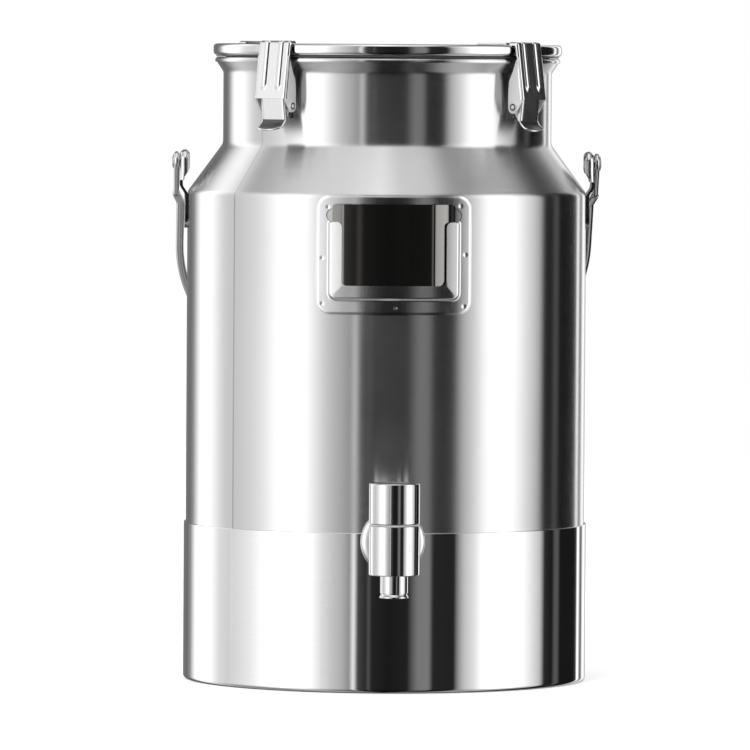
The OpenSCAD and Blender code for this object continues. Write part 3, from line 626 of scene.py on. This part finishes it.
# The plate lies in its pocket less curved than the pail, its right end sprung back a little
def plateHeight(x, z):
    bulge = bentBy(x, plate["riseAt"], plate["riseBack"]) - bentBy(x, plate["bendAt"], plate["bendBack"])
    bulge += bentBy(x, plate["bendEnd"], plate["bendBack"] - plate["riseBack"])
    low = smoothStep((z - plate["bulgeLow"]) / plate["bulgeRun"])
    curve = max(x, -plate["curveEnd"])
    return plate["gap"] + low * (bulge + plate["flatter"] * curve * curve)


def makeLabelPlate():
    mesh = bmesh.new()
    pressedSheet(mesh, [roundedBox(plate["width"] / 2, plate["low"], plate["high"], plate["corner"])],
        plate["step"], onBody, plateHeight, lambda x, z: plateHeight(x, z) + plate["sheet"])
    finishPiece("labelPlate", mesh, "label_plate", "label_plate_steel", ["label_plate"], sharp=50)


makeLabelHolder()
makeLabelPlate()
print("label holder and plate pressed")

# Ears and bail
bail = {"pivotHeight": 311.0, "rod": 4.8, "eyeRod": 3.2, "eyeMiddle": 126.5, "eyeRing": 4.46, "eyeLength": 20.0,
    "legPlace": 123.9, "joggle": 32.0, "joggleFold": 6.0, "leg": 66.5, "rest": 40.084, "forged": (0.8, 0.9)}
ear = {"width": 20.0, "sheet": 1.8, "padLow": 271.0, "seat": 0.03, "bend": 290.8, "bendHeight": 6.6, "neck": 288.7,
    "face": 124.7, "rim": 7.2, "leanShare": 0.3, "pin": 5.6, "headRadius": 4.2, "headAt": 128.3,
    "headHeight": 1.0, "step": 0.9, "lip": 4.2, "lipSheet": 1.44, "lipLow": 300.0, "lipBend": 3.2,
    "lipRun": 8.0, "lipStart": 0.45, "reliefCut": 0.8}


# The ear's edge from one side over the pin to the other, moved in by an amount
def earRimPath(inset=0.0):
    half, low, pivot, rim = ear["width"] / 2, ear["neck"], bail["pivotHeight"], ear["rim"]
    lean = degrees(asin((half - rim) / hypot(half - rim, pivot - low))) * ear["leanShare"]
    top = arc(0, pivot, rim, lean, 180 - 2 * lean, 28)
    start = Vector((half, low)).lerp(top[0], (ear["lipLow"] - low) / (top[0].y - low))
    straight = [start.lerp(top[0], k / 6) for k in range(6)]
    path = straight + top + mirrored(straight)
    return [point + leftOf(runAt(path, i)) * inset for i, point in enumerate(path)]


def earOutline():
    half = ear["width"] / 2
    rim = earRimPath(ear["lipBend"])
    relief = earRimPath()[0] - Vector((0, ear["reliefCut"]))
    right = [Vector((half, ear["neck"])), relief, Vector((rim[0].x, relief.y))]
    return arc(0, ear["padLow"] + half, half, 180, 180, 24) + right + rim + mirrored(right)


# The ear's upper part is dished: its rim is turned in towards the pail round a soft bend
def addEarRim(mesh, side):
    bend, sheet, middle = ear["lipBend"], ear["lipSheet"], ear["face"] - ear["lipBend"]
    curl = 90 + degrees(asin(min(1, (ear["sheet"] + ear["lip"] - bend) / bend)))
    rings = []
    for i, point in enumerate(earRimPath()):
        # the curl opens from the relief cut upwards
        opened = smoothStep((point.y - ear["lipLow"]) / ear["lipRun"])
        turn = curl * (ear["lipStart"] + (1 - ear["lipStart"]) * opened)
        section = arc(bend, middle, bend, 90, turn, 12) + arc(bend, middle, bend - sheet, 90 + turn, -turn, 12)
        rings.append([mesh.verts.new(Vector((side * x, *earRimPath(inset)[i]))) for inset, x in section])
    bridge(mesh, rings)


def makeEar(side, name, node):
    def inner(y, z):
        onPad = sqrt(pail["bodyRadius"] ** 2 - y * y) + ear["seat"]
        share = smoothStep((z - ear["bend"]) / ear["bendHeight"])
        return onPad * (1 - share) + (ear["face"] - ear["sheet"]) * share

    mesh = bmesh.new()
    pressedSheet(mesh, [earOutline(), arc(0, bail["pivotHeight"], ear["pin"] / 2, 0, 360, 32)[:-1]], ear["step"],
        lambda y, z, out: Vector((side * out, y, z)), inner, lambda y, z: inner(y, z) + ear["sheet"])
    addEarRim(mesh, side)
    finishPiece(name, mesh, "pail", "bail_steel", [node], sharp=40)


def makeEarPin(side, name, node):
    head, at, pin = ear["headRadius"], ear["headAt"], ear["pin"] / 2
    back, top = ear["face"] - ear["sheet"] - 0.02, ear["headAt"] + ear["headHeight"]
    outline = roundCorners([(0, back), (pin, back, 0.3), (pin, at), (head, at, 0.25), (head, top - 0.65, 0.2),
        (head * 0.62, top - 0.14, 1.5), (0, top)])
    turned(name, outline, evenTurns(64), "pail", "bail_steel", [node],
        place=lambda r, a, h: Vector((side * h, r * cos(a), bail["pivotHeight"] + r * sin(a))))


def makeBail():
    turn = Matrix.Rotation(radians(bail["rest"]), 3, "X")

    def hung(x, y, z):
        return turn @ Vector((x, y, z)) + Vector((0, 0, bail["pivotHeight"]))

    mesh = bmesh.new()
    ring, length, eyeX = bail["eyeRing"], bail["eyeLength"], bail["eyeMiddle"]
    loop = arc(0, 0, ring, 0, 180, 24) + [Vector((-ring, -length * k / 12)) for k in range(1, 12)]
    loop += arc(0, -length, ring, 180, 180, 24) + [Vector((ring, -length + length * k / 12)) for k in range(1, 12)]
    for side in (-1, 1):
        tube(mesh, [hung(side * eyeX, *p) for p in loop], bail["eyeRod"] / 2, 28, closed=True)
    low, leg, fold = -length - ring, bail["legPlace"], bail["joggleFold"]
    bent = roundCorners([(eyeX, low + 1.2), (eyeX, low - 1.5, fold), (leg, -bail["joggle"], fold),
        (leg, -bail["leg"])], fineness=3)
    half = eased(bent, step=3, margin=1)
    path = half + arc(0, -bail["leg"], leg, 0, -180, 96)[1:-1] + mirrored(half)
    # the rod is forged down where it meets each eye
    forged = [bail["rod"] / 2 * share for share in bail["forged"]]
    radii = forged + [bail["rod"] / 2] * (len(path) - 4) + forged[::-1]
    tube(mesh, [hung(p.x, 0, p.y) for p in path], radii, 32)
    finishPiece("bailRod", mesh, "bail", "bail_steel", ["bail"], sharp=50)


for side, word in ((-1, "left"), (1, "right")):
    makeEar(side, "ear" + word.capitalize(), "ear_" + word)
    makeEarPin(side, "earPin" + word.capitalize(), "ear_pin_" + word)
makeBail()
print("ears and bail bent")

# Toggle latches: pressed claw over the lid, lever with a finger scoop, and pins through both.
# Points are (out from the neck, up from the lid's top)
latch = {"turn": 4.2, "top": 382.0, "upper": (7.8, -27.0), "lower": (5.8, -37.0), "pin": 1.6, "collar": (0.8, 0.9),
    "boss": 3.0, "clawWidth": 23.2, "sheet": 1.2, "leverWidth": 17.6, "clawTop": 8.6, "clawLow": (13.1, -32.5),
    "clawFlange": 2.0, "leverFlange": 2.2, "hookGap": 0.45, "hookReach": 2.8, "bend": 1.3, "sideGap": 0.03,
    "fin": ((8.2, -8.6, 3), (5.4, -16.2, 5), (2.9, -21.5, 5), (2.2, -28, 4)), "finTop": (9.3, -5.4, 0.5),
    "eye": 3.6, "eyeSweep": 118, "ribPlace": 5.45, "ribRadius": 1.9, "ribHeight": 0.85, "ribStart": 3.0,
    "ribRun": 1.2, "ribFlat": 0.25, "ribEnd": 6.2, "leverBend": (9.1, -44.9)}
scoop = {"tip": (16.2, -50.6), "back": 0.8, "hollow": 0.8, "thickness": 0.55, "lip": 0.62, "columns": 22,
    "rows": 12, "round": 0.34, "corner": 2.6, "crown": 0.8, "sideGap": 0.2, "taper": 0.05, "out": (1.15, 1.2),
    "down": 1.5, "under": (0.5, 1.3), "lipDrop": 0.6}


def latchFrame(k):
    a = radians(45 + 90 * k + latch["turn"])
    out, across = Vector((cos(a), sin(a), 0)), Vector((-sin(a), cos(a), 0))
    return lambda u, y, z: out * (pail["neckRadius"] + u) + across * y + Vector((0, 0, latch["top"] + z))


# A sheet's section across the latch: flat, with both sides folded back
def bentSection(width, flange, columns):
    half, sheet, bend = width / 2, latch["sheet"], latch["bend"]
    flat, small = half - bend, max(0.1, bend - sheet)
    even = [-flat + 2 * flat * k / columns for k in range(columns + 1)]
    outer = [(-half, flange), (-half, bend), *arc(-flat, bend, bend, 180, 90, 5)[1:5]]
    inner = [(half - sheet, flange), *arc(flat, sheet + small, small, 0, -90, 4)[1:4]]
    section = outer + [(y, 0.0) for y in even] + [(-y, d) for y, d in reversed(outer)]
    return section + inner + [(-y, sheet) for y in even] + [(-y, d) for y, d in reversed(inner)]


def makeSides(name, body, outline, width, local, soften):
    mesh, half = bmesh.new(), width / 2
    for side in (-1, 1):
        slab(mesh, roundCorners(outline, closed=True, fineness=12),
            side * (half - latch["sheet"] + latch["sideGap"]), side * (half - 0.02),
            lambda x, y, depth: local(x, depth, y), soften * side)
    finishPiece(name, mesh, body, "latch_steel", sharp=38, finish="latch_sides")


def makeClaw(k, local):
    sheet, low = latch["sheet"], Vector(latch["clawLow"])
    top = latch["hookGap"] + sheet
    path = eased(roundCorners([(latch["hookReach"], top), (latch["clawTop"], top, 2.0), low], fineness=6),
        step=1.1, margin=0.3)
    lengths = [0.0]
    for a, b in zip(path, path[1:]):
        lengths.append(lengths[-1] + (b - a).length)
    ribEnd = lengths[-1] - latch["ribEnd"] - latch["ribRadius"]

    # no rib stands above the claw's flat top
    def rib(across, depth, i):
        run, started = runAt(path, i), lengths[i] - latch["ribStart"]
        if depth > sheet + 0.01 or started <= 0:
            return 0.0
        room = (top - path[i].y) / run.x if run.x > 0.02 else latch["ribHeight"]
        off = hypot(abs(across) - latch["ribPlace"], max(0.0, lengths[i] - ribEnd)) / latch["ribRadius"]
        height = sqrt(1 - max(off, latch["ribFlat"]) ** 2) if off < 1 else 0.0
        return min(height * latch["ribHeight"] * min(1.0, started / latch["ribRun"]), max(0.0, room))

    mesh = bmesh.new()
    channel(mesh, path, bentSection(latch["clawWidth"], latch["clawFlange"], 56), local, rib)
    lower, eye = latch["lower"], latch["eye"]
    fin = [*latch["fin"], *arc(*lower, eye, 180, latch["eyeSweep"], 12), (low.x - 0.5, low.y - 0.1, 1.0),
        latch["finTop"]]
    finishPiece(f"latchClaw{k}", mesh, f"claw_{k}", "latch_steel", [f"latch_claw_{k}"], sharp=38)
    makeSides(f"latchSides{k}", f"claw_{k}", fin, latch["clawWidth"], local, 0.18)


# A dished tongue with a thick round lip, springing from behind the lever's edge; the tongue gets a near-black finish,
# painted shade for its hollow
def makeScoop(k, local, leverMesh):
    half, bend, tip = latch["leverWidth"] / 2, Vector(latch["leverBend"]), Vector(scoop["tip"])
    columns, rows, thick, back = scoop["columns"], scoop["rows"], scoop["thickness"], scoop["back"]
    cornerOut, rowOut = scoop["out"]
    underOut, underDown = scoop["under"]
    grid = []
    for i in range(rows + 1):
        s = i / rows
        grid.append([])
        for j in range(columns + 1):
            t = -1 + 2 * j / columns
            reach = 1 - scoop["round"] * abs(t) ** scoop["corner"]
            hollow = scoop["hollow"] * sin(pi * s) * (1 - scoop["crown"] * t * t)
            down = (1 - (1 - reach) ** scoop["down"]) * (1 - (1 - s) ** scoop["down"])
            grid[i].append((bend.x - back + (tip.x - bend.x + back) * reach ** cornerOut * s ** rowOut - hollow,
                t * (half - scoop["sideGap"]) * (1 - scoop["taper"] * s),
                bend.y + back + (tip.y - bend.y - back) * down))
    mesh = bmesh.new()
    tops = [[mesh.verts.new(local(u, y, z)) for u, y, z in row] for row in grid]
    under = [[mesh.verts.new(local(u - thick * underOut, y, z - thick * underDown)) for u, y, z in row] for row in grid]
    for i in range(rows):
        for j in range(columns):
            mesh.faces.new([tops[i][j], tops[i][j + 1], tops[i + 1][j + 1], tops[i + 1][j]])
            mesh.faces.new([under[i][j], under[i + 1][j], under[i + 1][j + 1], under[i][j + 1]])
    rim = [(i, 0) for i in range(rows)] + [(rows, j) for j in range(columns)]
    rim += [(rows - i, columns) for i in range(rows)] + [(0, columns - j) for j in range(columns)]
    for (a, b), (c, d) in zip(rim, rim[1:] + rim[:1]):
        mesh.faces.new([tops[a][b], tops[c][d], under[c][d], under[a][b]])
    finishPiece(f"latchScoop{k}", mesh, f"lever_{k}", "latch_steel", sharp=38, finish="scoop_painted_shade")
    lip = [local(*grid[i][j]) - Vector((0, 0, thick * scoop["lipDrop"])) for i, j in rim[1:rows * 2 + columns]]
    tube(leverMesh, lip, scoop["lip"], 10)


def makeLever(k, local):
    sheet, boss, bend = latch["sheet"], latch["boss"], Vector(latch["leverBend"])
    upper, lower = Vector(latch["upper"]), Vector(latch["lower"])
    # front plate, folded back at both sides
    mesh = bmesh.new()
    line = eased([Vector((upper.x + boss, upper.y - boss - 0.3)), bend], step=1.5, margin=0.3)
    channel(mesh, line, bentSection(latch["leverWidth"], latch["leverFlange"], 16), local)
    # cheeks round both pins
    cheek = arc(*upper, boss, 10, 170, 12) + arc(*lower, boss, 180, 75, 8)
    cheek += [(bend.x - sheet, bend.y - 0.3, 0.8), (bend.x - 0.35, bend.y + 0.2, 0.3)]
    makeSides(f"leverSides{k}", f"lever_{k}", cheek, latch["leverWidth"], local, 0.16)
    makeScoop(k, local, mesh)
    finishPiece(f"latchLever{k}", mesh, f"lever_{k}", "latch_steel", [f"latch_lever_{k}"], sharp=38)


def makePins(k, local):
    pin, sheet = latch["pin"], latch["sheet"]
    inside, outside = latch["leverWidth"] / 2 + 0.2, latch["clawWidth"] / 2 - sheet
    for name, body, (u, z), node, collar, end, reach in (
            ("clawPin", f"claw_{k}", latch["lower"], f"latch_claw_pin_{k}", latch["collar"][0], outside,
            outside + sheet + 0.15),
            ("hingePin", "pail", latch["upper"], f"latch_base_pin_{k}", latch["collar"][1], outside - 0.2, 0)):
        half = [(pin, 0), (pin, inside), (pin + collar, inside, 0.2), (pin + collar, end, 0.2)]
        half += [(pin, end), (pin, reach, 0.15), (0, reach)] if reach else [(0, end)]
        outline = [(r, -h, *fold) for r, h, *fold in reversed(half)] + half[1:]
        turned(f"{name}{k}", roundCorners(outline), evenTurns(32), body, "pin_steel", [node],
            place=lambda r, a, h: local(u + r * cos(a), h, z + r * sin(a)))


for k in range(1, 5):
    makeClaw(k, latchFrame(k))
    makeLever(k, latchFrame(k))
    makePins(k, latchFrame(k))
print("latches pressed")

# Rivet heads, near-black discs round them as painted shade in the gaps, and spot welds, one tree for all
head = {"Head Radius": 1.3, "Dome Height": 0.9, "Ring Radius": 2.5, "Ring Thickness": 0.42}
# flat near-black discs under the rivet heads, painted shade in the gap round each head
gap = {"Head Radius": 2.4, "Dome Height": 0.16, "Ring Radius": 2.4, "Ring Thickness": 0.05}
spot = {"Head Radius": 1.9, "Dome Height": 0.22, "Ring Radius": 2.2, "Ring Thickness": 0.05}
riveting = {"lift": 0.3, "bracketTurn": 2.6, "bracketHeights": (340.6, 361.6),
    "earSpots": ((-5.5, 286.5), (5.5, 286.5), (0, 277.5))}


def buildHeadTree():
    group = bpy.data.node_groups.new("roundHeads", "GeometryNodeTree")
    sockets = [("Geometry", "INPUT", "Geometry"), *((name, "INPUT", "Float") for name in head),
        ("Metal", "INPUT", "Material"), ("Geometry", "OUTPUT", "Geometry")]
    for name, way, kind in sockets:
        group.interface.new_socket(name, in_out=way, socket_type="NodeSocket" + kind)
    tree = NodeTree(group)
    given = tree.add("NodeGroupInput")
    radius, height = given.output("Head Radius"), given.output("Dome Height")
    ball = tree.add("GeometryNodeMeshUVSphere", {"Segments": 24, "Rings": 12, "Radius": 1.0})
    squash = tree.add("ShaderNodeCombineXYZ", {"X": radius, "Y": radius, "Z": height})
    dome = tree.add("GeometryNodeTransform", {"Geometry": ball, "Scale": squash})
    circle, section = (tree.add("GeometryNodeCurvePrimitiveCircle", {"Resolution": count, "Radius": given.output(name)})
        for name, count in (("Ring Radius", 28), ("Ring Thickness", 10)))
    ring = tree.add("GeometryNodeCurveToMesh", {"Curve": circle, "Profile Curve": section})
    both = tree.add("GeometryNodeJoinGeometry", {0: [dome, ring]})
    smooth = tree.add("GeometryNodeSetShadeSmooth", {"Geometry": both})
    facing = tree.add("GeometryNodeInputNamedAttribute", {"Name": "facing"}, {"data_type": "FLOAT_VECTOR"})
    turn = tree.add("FunctionNodeAlignRotationToVector", {"Vector": facing}, {"axis": "Z"})
    spread = tree.add("GeometryNodeInstanceOnPoints", {"Points": given, "Instance": smooth, "Rotation": turn})
    real = tree.add("GeometryNodeRealizeInstances", {"Geometry": spread})
    painted = tree.add("GeometryNodeSetMaterial", {"Geometry": real, "Material": given.output("Metal")})
    tree.add("NodeGroupOutput", {0: painted})
    return group


headTree = buildHeadTree()


def makeHeads(name, places, size, body, finish):
    data = bpy.data.meshes.new(name)
    data.from_pydata([p * toMetres for p, _ in places], [], [])
    facing = data.attributes.new("facing", "FLOAT_VECTOR", "POINT")
    facing.data.foreach_set("vector", [c for _, way in places for c in way.normalized()])
    seed = addObject(name + "Points", data)
    grow = seed.modifiers.new("heads", "NODES")
    grow.node_group = headTree
    for item in headTree.interface.items_tree:
        if item.name in size:
            grow[item.identifier] = size[item.name] * toMetres
        elif item.name == "Metal":
            grow[item.identifier] = finishes[finish]
    made = settledMesh(seed, name)
    bpy.data.objects.remove(seed)
    dressPiece(addObject(name, made), body)


welds = []
for k in range(1, 5):
    local = latchFrame(k)
    u, z = latch["lower"]
    heads = [(local(u, side * (latch["clawWidth"] / 2 + riveting["lift"]), z), local(0, side, 0) - local(0, 0, 0))
        for side in (-1, 1)]
    makeHeads(f"clawRivets{k}", heads, head, f"claw_{k}", "latch_sides")
    # near-black discs behind the rivet heads, painted shade of the gaps round them
    makeHeads(f"clawGaps{k}", heads, gap, f"claw_{k}", "rivet_painted_shade")
    for height in riveting["bracketHeights"]:
        for side in (-1, 1):
            a = radians(45 + 90 * k + latch["turn"] + side * riveting["bracketTurn"])
            welds.append((aboutAxis(pail["neckRadius"] + latch["sheet"], a, height), aboutAxis(1, a, 0)))
for side in (-1, 1):
    for y, z in riveting["earSpots"]:
        x = side * (sqrt(pail["bodyRadius"] ** 2 - y * y) + ear["sheet"])
        welds.append((Vector((x, y, z)), Vector((x, y, 0))))
makeHeads("spotWelds", welds, spot, "pail", "bail_steel")
print("rivets and welds set")

# Tap: barrel on its shank, domed flange, slip ring, knob and nozzle
tap = {"across": -148.0, "radius": 15.0, "barrelLow": 71.7, "barrelTop": 100.7, "barrelBore": 7.0, "step": 3.0,
    "seat": 2.0, "knobLow": 101.9, "knobHeight": 23.8, "knobDepth": 16.0, "knobDish": 0.35, "shankHeight": 89.8,
    "shank": 8.0, "shankEnd": 106.3, "thread": 1.5, "threadDepth": 0.75, "bore": 3.8, "flange": 19.0,
    "flangeBack": 122.4, "flangeHeight": 4.5, "flangeTop": 1.8, "root": 9.5, "rootBack": 126.9,
    "rootFront": 131.5, "nozzle": 8.2, "nozzleWall": 2.4, "nozzleLength": 13.4, "lip": 0.35, "lipTop": 0.9,
    "groove": 0.4, "grooveAt": (2.2, 2.7, 2.9), "cone": (7.5, 9.0), "spigot": 1.2, "spigotLength": 5.0,
    "stem": 6.1, "plug": 9.0, "ring": 1.0}
screw = {"height": 109.9, "radius": 2.0, "start": 0.4, "length": 6.6, "chamfer": 0.3, "key": 1.15, "keyDepth": 2.4}


def upright(r, a, h):
    return Vector((r * cos(a), tap["across"] + r * sin(a), h))


def alongShank(r, a, h):
    return Vector((r * cos(a), -h, tap["shankHeight"] + r * sin(a)))


def tapPiece(name, points, place, nodes, closed=False, steps=128, body="pail", slotName="tap_chrome"):
    outline = eased(roundCorners(points, closed=closed), step=6, margin=0.25, closed=closed)
    return turned(name, outline, evenTurns(steps), body, slotName, nodes, place, sharp=40)


def makeBarrel():
    r, low, top, hole = tap["radius"], tap["barrelLow"], tap["barrelTop"], tap["barrelBore"]
    plug, step, seat = tap["plug"], tap["step"], tap["plug"] + tap["seat"]
    tapPiece("tapBarrel", [(0, low + hole), (0, low + hole - 0.1), (hole, low + hole - 0.1), (hole, low, 0.3),
        (r - 0.1, low, 0.7), (r, top, 0.35), (seat, top, 0.2), (seat, top - step),
        (plug, top - step), (plug, low + hole)], upright, ["tap_body"])


# The shank is threaded inside the tank
def makeShank():
    shank, bore, end, root = tap["shank"], tap["bore"], tap["shankEnd"], tap["root"]
    mouth = -tap["across"] - tap["plug"]
    points, h = [(bore, mouth), (bore, end), (shank - 0.5, end, 0.2)], end + 0.8
    while h < pail["bodyRadius"] - 1.2:
        points += [(shank - tap["threadDepth"], h), (shank, h + tap["thread"] / 2, 0.1)]
        h += tap["thread"]
    points += [(shank, pail["bodyRadius"] - 0.5), (shank, tap["rootBack"]), (root, tap["rootBack"]),
        (root, tap["rootFront"], 1.5), (root + 0.9, mouth - 1.2), (bore, mouth - 1.2)]
    tapPiece("tapShank", points, alongShank, [], closed=True, steps=96, slotName="machined_steel")


def makeFlange():
    back, rise, wide, shank = tap["flangeBack"], tap["flangeHeight"], tap["flange"], tap["shank"]
    flat = shank + tap["flangeTop"]
    dome = arc(flat, back + 0.5, wide - flat, 0, 90, 20, tall=rise - 0.5)
    tapPiece("tapFlange", [(shank, back), (wide - 0.4, back, 0.2), *dome, (shank, back + rise)], alongShank,
        ["tap_flange"], closed=True)


def makeNozzle():
    n, low, floor, bore = tap["nozzle"], tap["barrelLow"], tap["barrelLow"] - tap["nozzleLength"], tap["bore"]
    mouth, lip, groove, spigot = n - tap["nozzleWall"], n + tap["lip"], n - tap["groove"], n - tap["spigot"]
    grooveLow, grooveTop, wallLow = tap["grooveAt"]
    coneLow, coneTop = tap["cone"]
    end = low + tap["spigotLength"]
    tapPiece("tapNozzle", [(mouth, floor, 0.3), (lip, floor, 0.4), (lip, floor + tap["lipTop"], 0.3),
        (groove, floor + grooveLow, 0.2), (groove, floor + grooveTop, 0.1), (n, floor + wallLow, 0.1),
        (n, low + 0.3), (spigot, low + 0.3), (spigot, end), (bore, end),
        (bore, floor + coneTop), (mouth, floor + coneLow)], upright, ["tap_nozzle"], closed=True, steps=96)


def makeKnob():
    r, top, stem, ring = tap["radius"], tap["barrelTop"], tap["stem"], tap["ring"]
    tapPiece("slipRing", [(stem + 0.05, top), (r - 1.0, top, 0.3), (r - 1.0, top + ring, 0.3),
        (stem + 0.05, top + ring)], upright, ["knob_washer"], closed=True, slotName="washer_plastic")
    low, high = tap["knobLow"], tap["knobLow"] + tap["knobHeight"]
    depth, dish = low + tap["knobDepth"], high - tap["knobDish"]
    knob = tapPiece("tapKnob", [(0, depth), (stem, depth), (stem, low, 0.3), (r, low, 0.45), (r, high, 0.9),
        (r - 3.2, high - 0.05, 0.6), (r - 3.8, dish, 0.6), (0, dish)], upright, ["tap_knob"], body="tap_knob")
    middle, height, radius = tap["across"], screw["height"], screw["radius"]
    cutHole(knob, (0, middle + 8, height), (0, middle + 18, height), radius)
    # set screw with a hexagon socket, deep in the knob's back
    start, end = stem + screw["start"], stem + screw["start"] + screw["length"]
    chamfer, key, sixth = screw["chamfer"], screw["key"], pi / 3
    mesh = bmesh.new()
    rings = []
    for h, size, hexagon in ((start, radius, 0), (end - 0.4, radius, 0), (end, radius - chamfer, 0), (end, key, 1),
            (end - screw["keyDepth"], key, 1)):
        reaches = [(a, size / cos((a + sixth / 2) % sixth - sixth / 2) if hexagon else size)
            for a in evenTurns(24)]
        rings.append([mesh.verts.new(Vector((reach * cos(a), middle + h, height + reach * sin(a))))
            for a, reach in reaches])
    bridge(mesh, rings)
    finishPiece("knobScrew", mesh, "tap_knob", "machined_steel", ["knob_set_screw"], sharp=30)


makeBarrel()
makeShank()
makeFlange()
makeNozzle()
makeKnob()
print("tap turned")

# CAD nodes that stay get their finish
slotOf = {part["node"]: part["material_slot"] for part in frame["record"]["subparts"]}
for name, node in cadNodes.items():
    node.data.materials.clear()
    node.data.materials.append(finishes[slotOf[name]])

# Studio: a ring of panels round the pail, brightness by the angle from the front to each side, and panels overhead
# by their place from left to right. The dome takes over from the ring between two heights of the ray, and the
# ring fades to its nadir below the horizon
studio = {"strength": 1.9, "nadir": 0.3, "nadirAt": (-0.7, -0.04), "behind": 0.15, "behindAt": (0.25, 0.5),
    "domeAt": (0.53, 0.76),
    "left": ((0, 0.007), (9.5, 0.012), (11, 0.06), (12.5, 0.015), (17.3, 0.04), (19.6, 0.58), (22, 0.18),
        (26, 0.29), (32, 0.38), (38, 0.50), (44, 0.71), (50, 0.93), (63, 1.0), (70, 0.88), (77, 0.70), (85, 0.57),
        (93, 0.50), (102, 0.43), (111, 0.48), (122, 0.76), (130, 0.92), (137, 0.90), (144, 0.52), (150, 0.18),
        (158, 0.09), (180, 0.12)),
    "right": ((0, 0.007), (11, 0.01), (14, 0.07), (17, 0.125), (23, 0.13), (25.5, 0.012), (38, 0.01), (41, 0.20),
        (44, 0.35), (50.5, 0.52), (57, 0.82), (64, 0.98), (74, 1.0), (86, 0.66), (98, 0.35), (102, 0.015),
        (109.5, 0.006), (112.5, 0.06), (115.5, 0.06), (118, 0.006), (137, 0.006), (141, 0.03), (144.5, 0.90),
        (148, 0.22), (151.5, 0.02), (156, 0.60), (161, 0.68), (168, 0.25), (180, 0.12)),
    "overhead": ((-1, 0.20), (-0.64, 0.24), (-0.5, 0.44), (-0.2, 0.60), (-0.06, 0.74), (0.08, 0.54), (0.32, 0.48),
        (0.42, 0.20), (0.5, 0.12), (0.62, 0.2), (0.75, 0.05), (1, 0.05))}


def makeWorld():
    world = bpy.data.worlds.new("studio")
    bpy.context.scene.world = world
    world.use_nodes = True
    shader = NodeTree(world.node_tree)
    way = shader.add("ShaderNodeTexCoord")
    x = shader.add("ShaderNodeSeparateXYZ", {0: way})
    y, z = x.output(1), x.output(2)
    angle = x.sum("ARCTAN2", x, 0 - y) / pi
    left, right = (shader.add("ShaderNodeValToRGB", {0: angle * sign},
        {"stops": [(turn / 180, level) for turn, level in studio[half]]})
        for half, sign in (("left", -1), ("right", 1)))
    # each half gives its front level on the other side
    ring = left + right - studio["left"][0][1]
    dome = shader.add("ShaderNodeValToRGB", {0: x * 0.5 + 0.5},
        {"stops": [(0.5 + at / 2, level) for at, level in studio["overhead"]]})
    dome = dome * shader.ranged(y, *studio["behindAt"], 1, studio["behind"])
    high = shader.ranged(z, *studio["domeAt"], 0, 1)
    low = shader.ranged(z, *studio["nadirAt"], studio["nadir"], 1)
    glow = (ring * low * (1 - high) + dome * high) * studio["strength"]
    light = shader.add("ShaderNodeBackground", {
        "Color": shader.add("ShaderNodeCombineColor", {0: glow, 1: glow, 2: glow}), "Strength": 1.0})
    white = shader.add("ShaderNodeBackground", {"Color": (1, 1, 1, 1), "Strength": 1.0})
    mixed = shader.add("ShaderNodeMixShader", {0: shader.add("ShaderNodeLightPath"), 1: light, 2: white})
    shader.add("ShaderNodeOutputWorld", {"Surface": mixed})


# The floor glows a little to the camera, so that it reads as the white background
floorLook = {"radius": 3000.0, "tone": 0.8, "glow": 0.3}


def makeFloor():
    mesh = bmesh.new()
    mesh.faces.new([mesh.verts.new(aboutAxis(floorLook["radius"], a, 0)) for a in evenTurns(96)])
    data = meshData("floor", mesh)
    material, shader = newMaterial("paleFloor")
    paint = shader.add("ShaderNodeBsdfDiffuse", {"Color": (*[floorLook["tone"]] * 3, 1)})
    glow = shader.add("ShaderNodeEmission", {"Color": (1, 1, 1, 1),
        "Strength": shader.add("ShaderNodeLightPath") * floorLook["glow"]})
    shader.add("ShaderNodeOutputMaterial", {"Surface": shader.add("ShaderNodeAddShader", {0: paint, 1: glow})})
    data.materials.append(material)
    floor = addObject("floor", data)
    floor.visible_glossy = False


def makeLamp(name, place, size, power):
    data = bpy.data.lights.new(name, "AREA")
    data.shape = "DISK"
    data.size = size
    data.energy = power
    lamp = addObject(name, data)
    lamp.location = place
    lamp.rotation_mode = "QUATERNION"
    lamp.rotation_quaternion = (Vector((0, 0, 0.2)) - Vector(place)).to_track_quat("-Z", "Y")
    lamp.visible_glossy = False


makeWorld()
makeFloor()
makeLamp("softFront", (-1.2, -2.4, 2.2), 1.6, 45)
makeLamp("softTop", (0.6, 0.8, 2.6), 1.8, 30)

# Camera, in metres and degrees
view = {"distance": 4.8, "height": 0.374, "azimuth": -2.2, "roll": 0.36, "pitch": -2.28, "yaw": -0.077, "lens": 382.7}


def makeCamera():
    data = bpy.data.cameras.new("camera")
    data.sensor_width = 36
    data.lens = view["lens"]
    data.clip_end = 50
    camera = addObject("camera", data)
    turn = Matrix.Translation(aboutAxis(view["distance"], radians(view["azimuth"] - 90), view["height"]))
    for angle, axis in ((view["azimuth"] - view["yaw"], "Z"), (90 + view["pitch"], "X"), (view["roll"], "Z")):
        turn = turn @ Matrix.Rotation(radians(angle), 4, axis)
    camera.matrix_world = turn
    bpy.context.scene.camera = camera


makeCamera()
bpy.context.scene.view_settings.view_transform = "Standard"
print("studio and camera set")
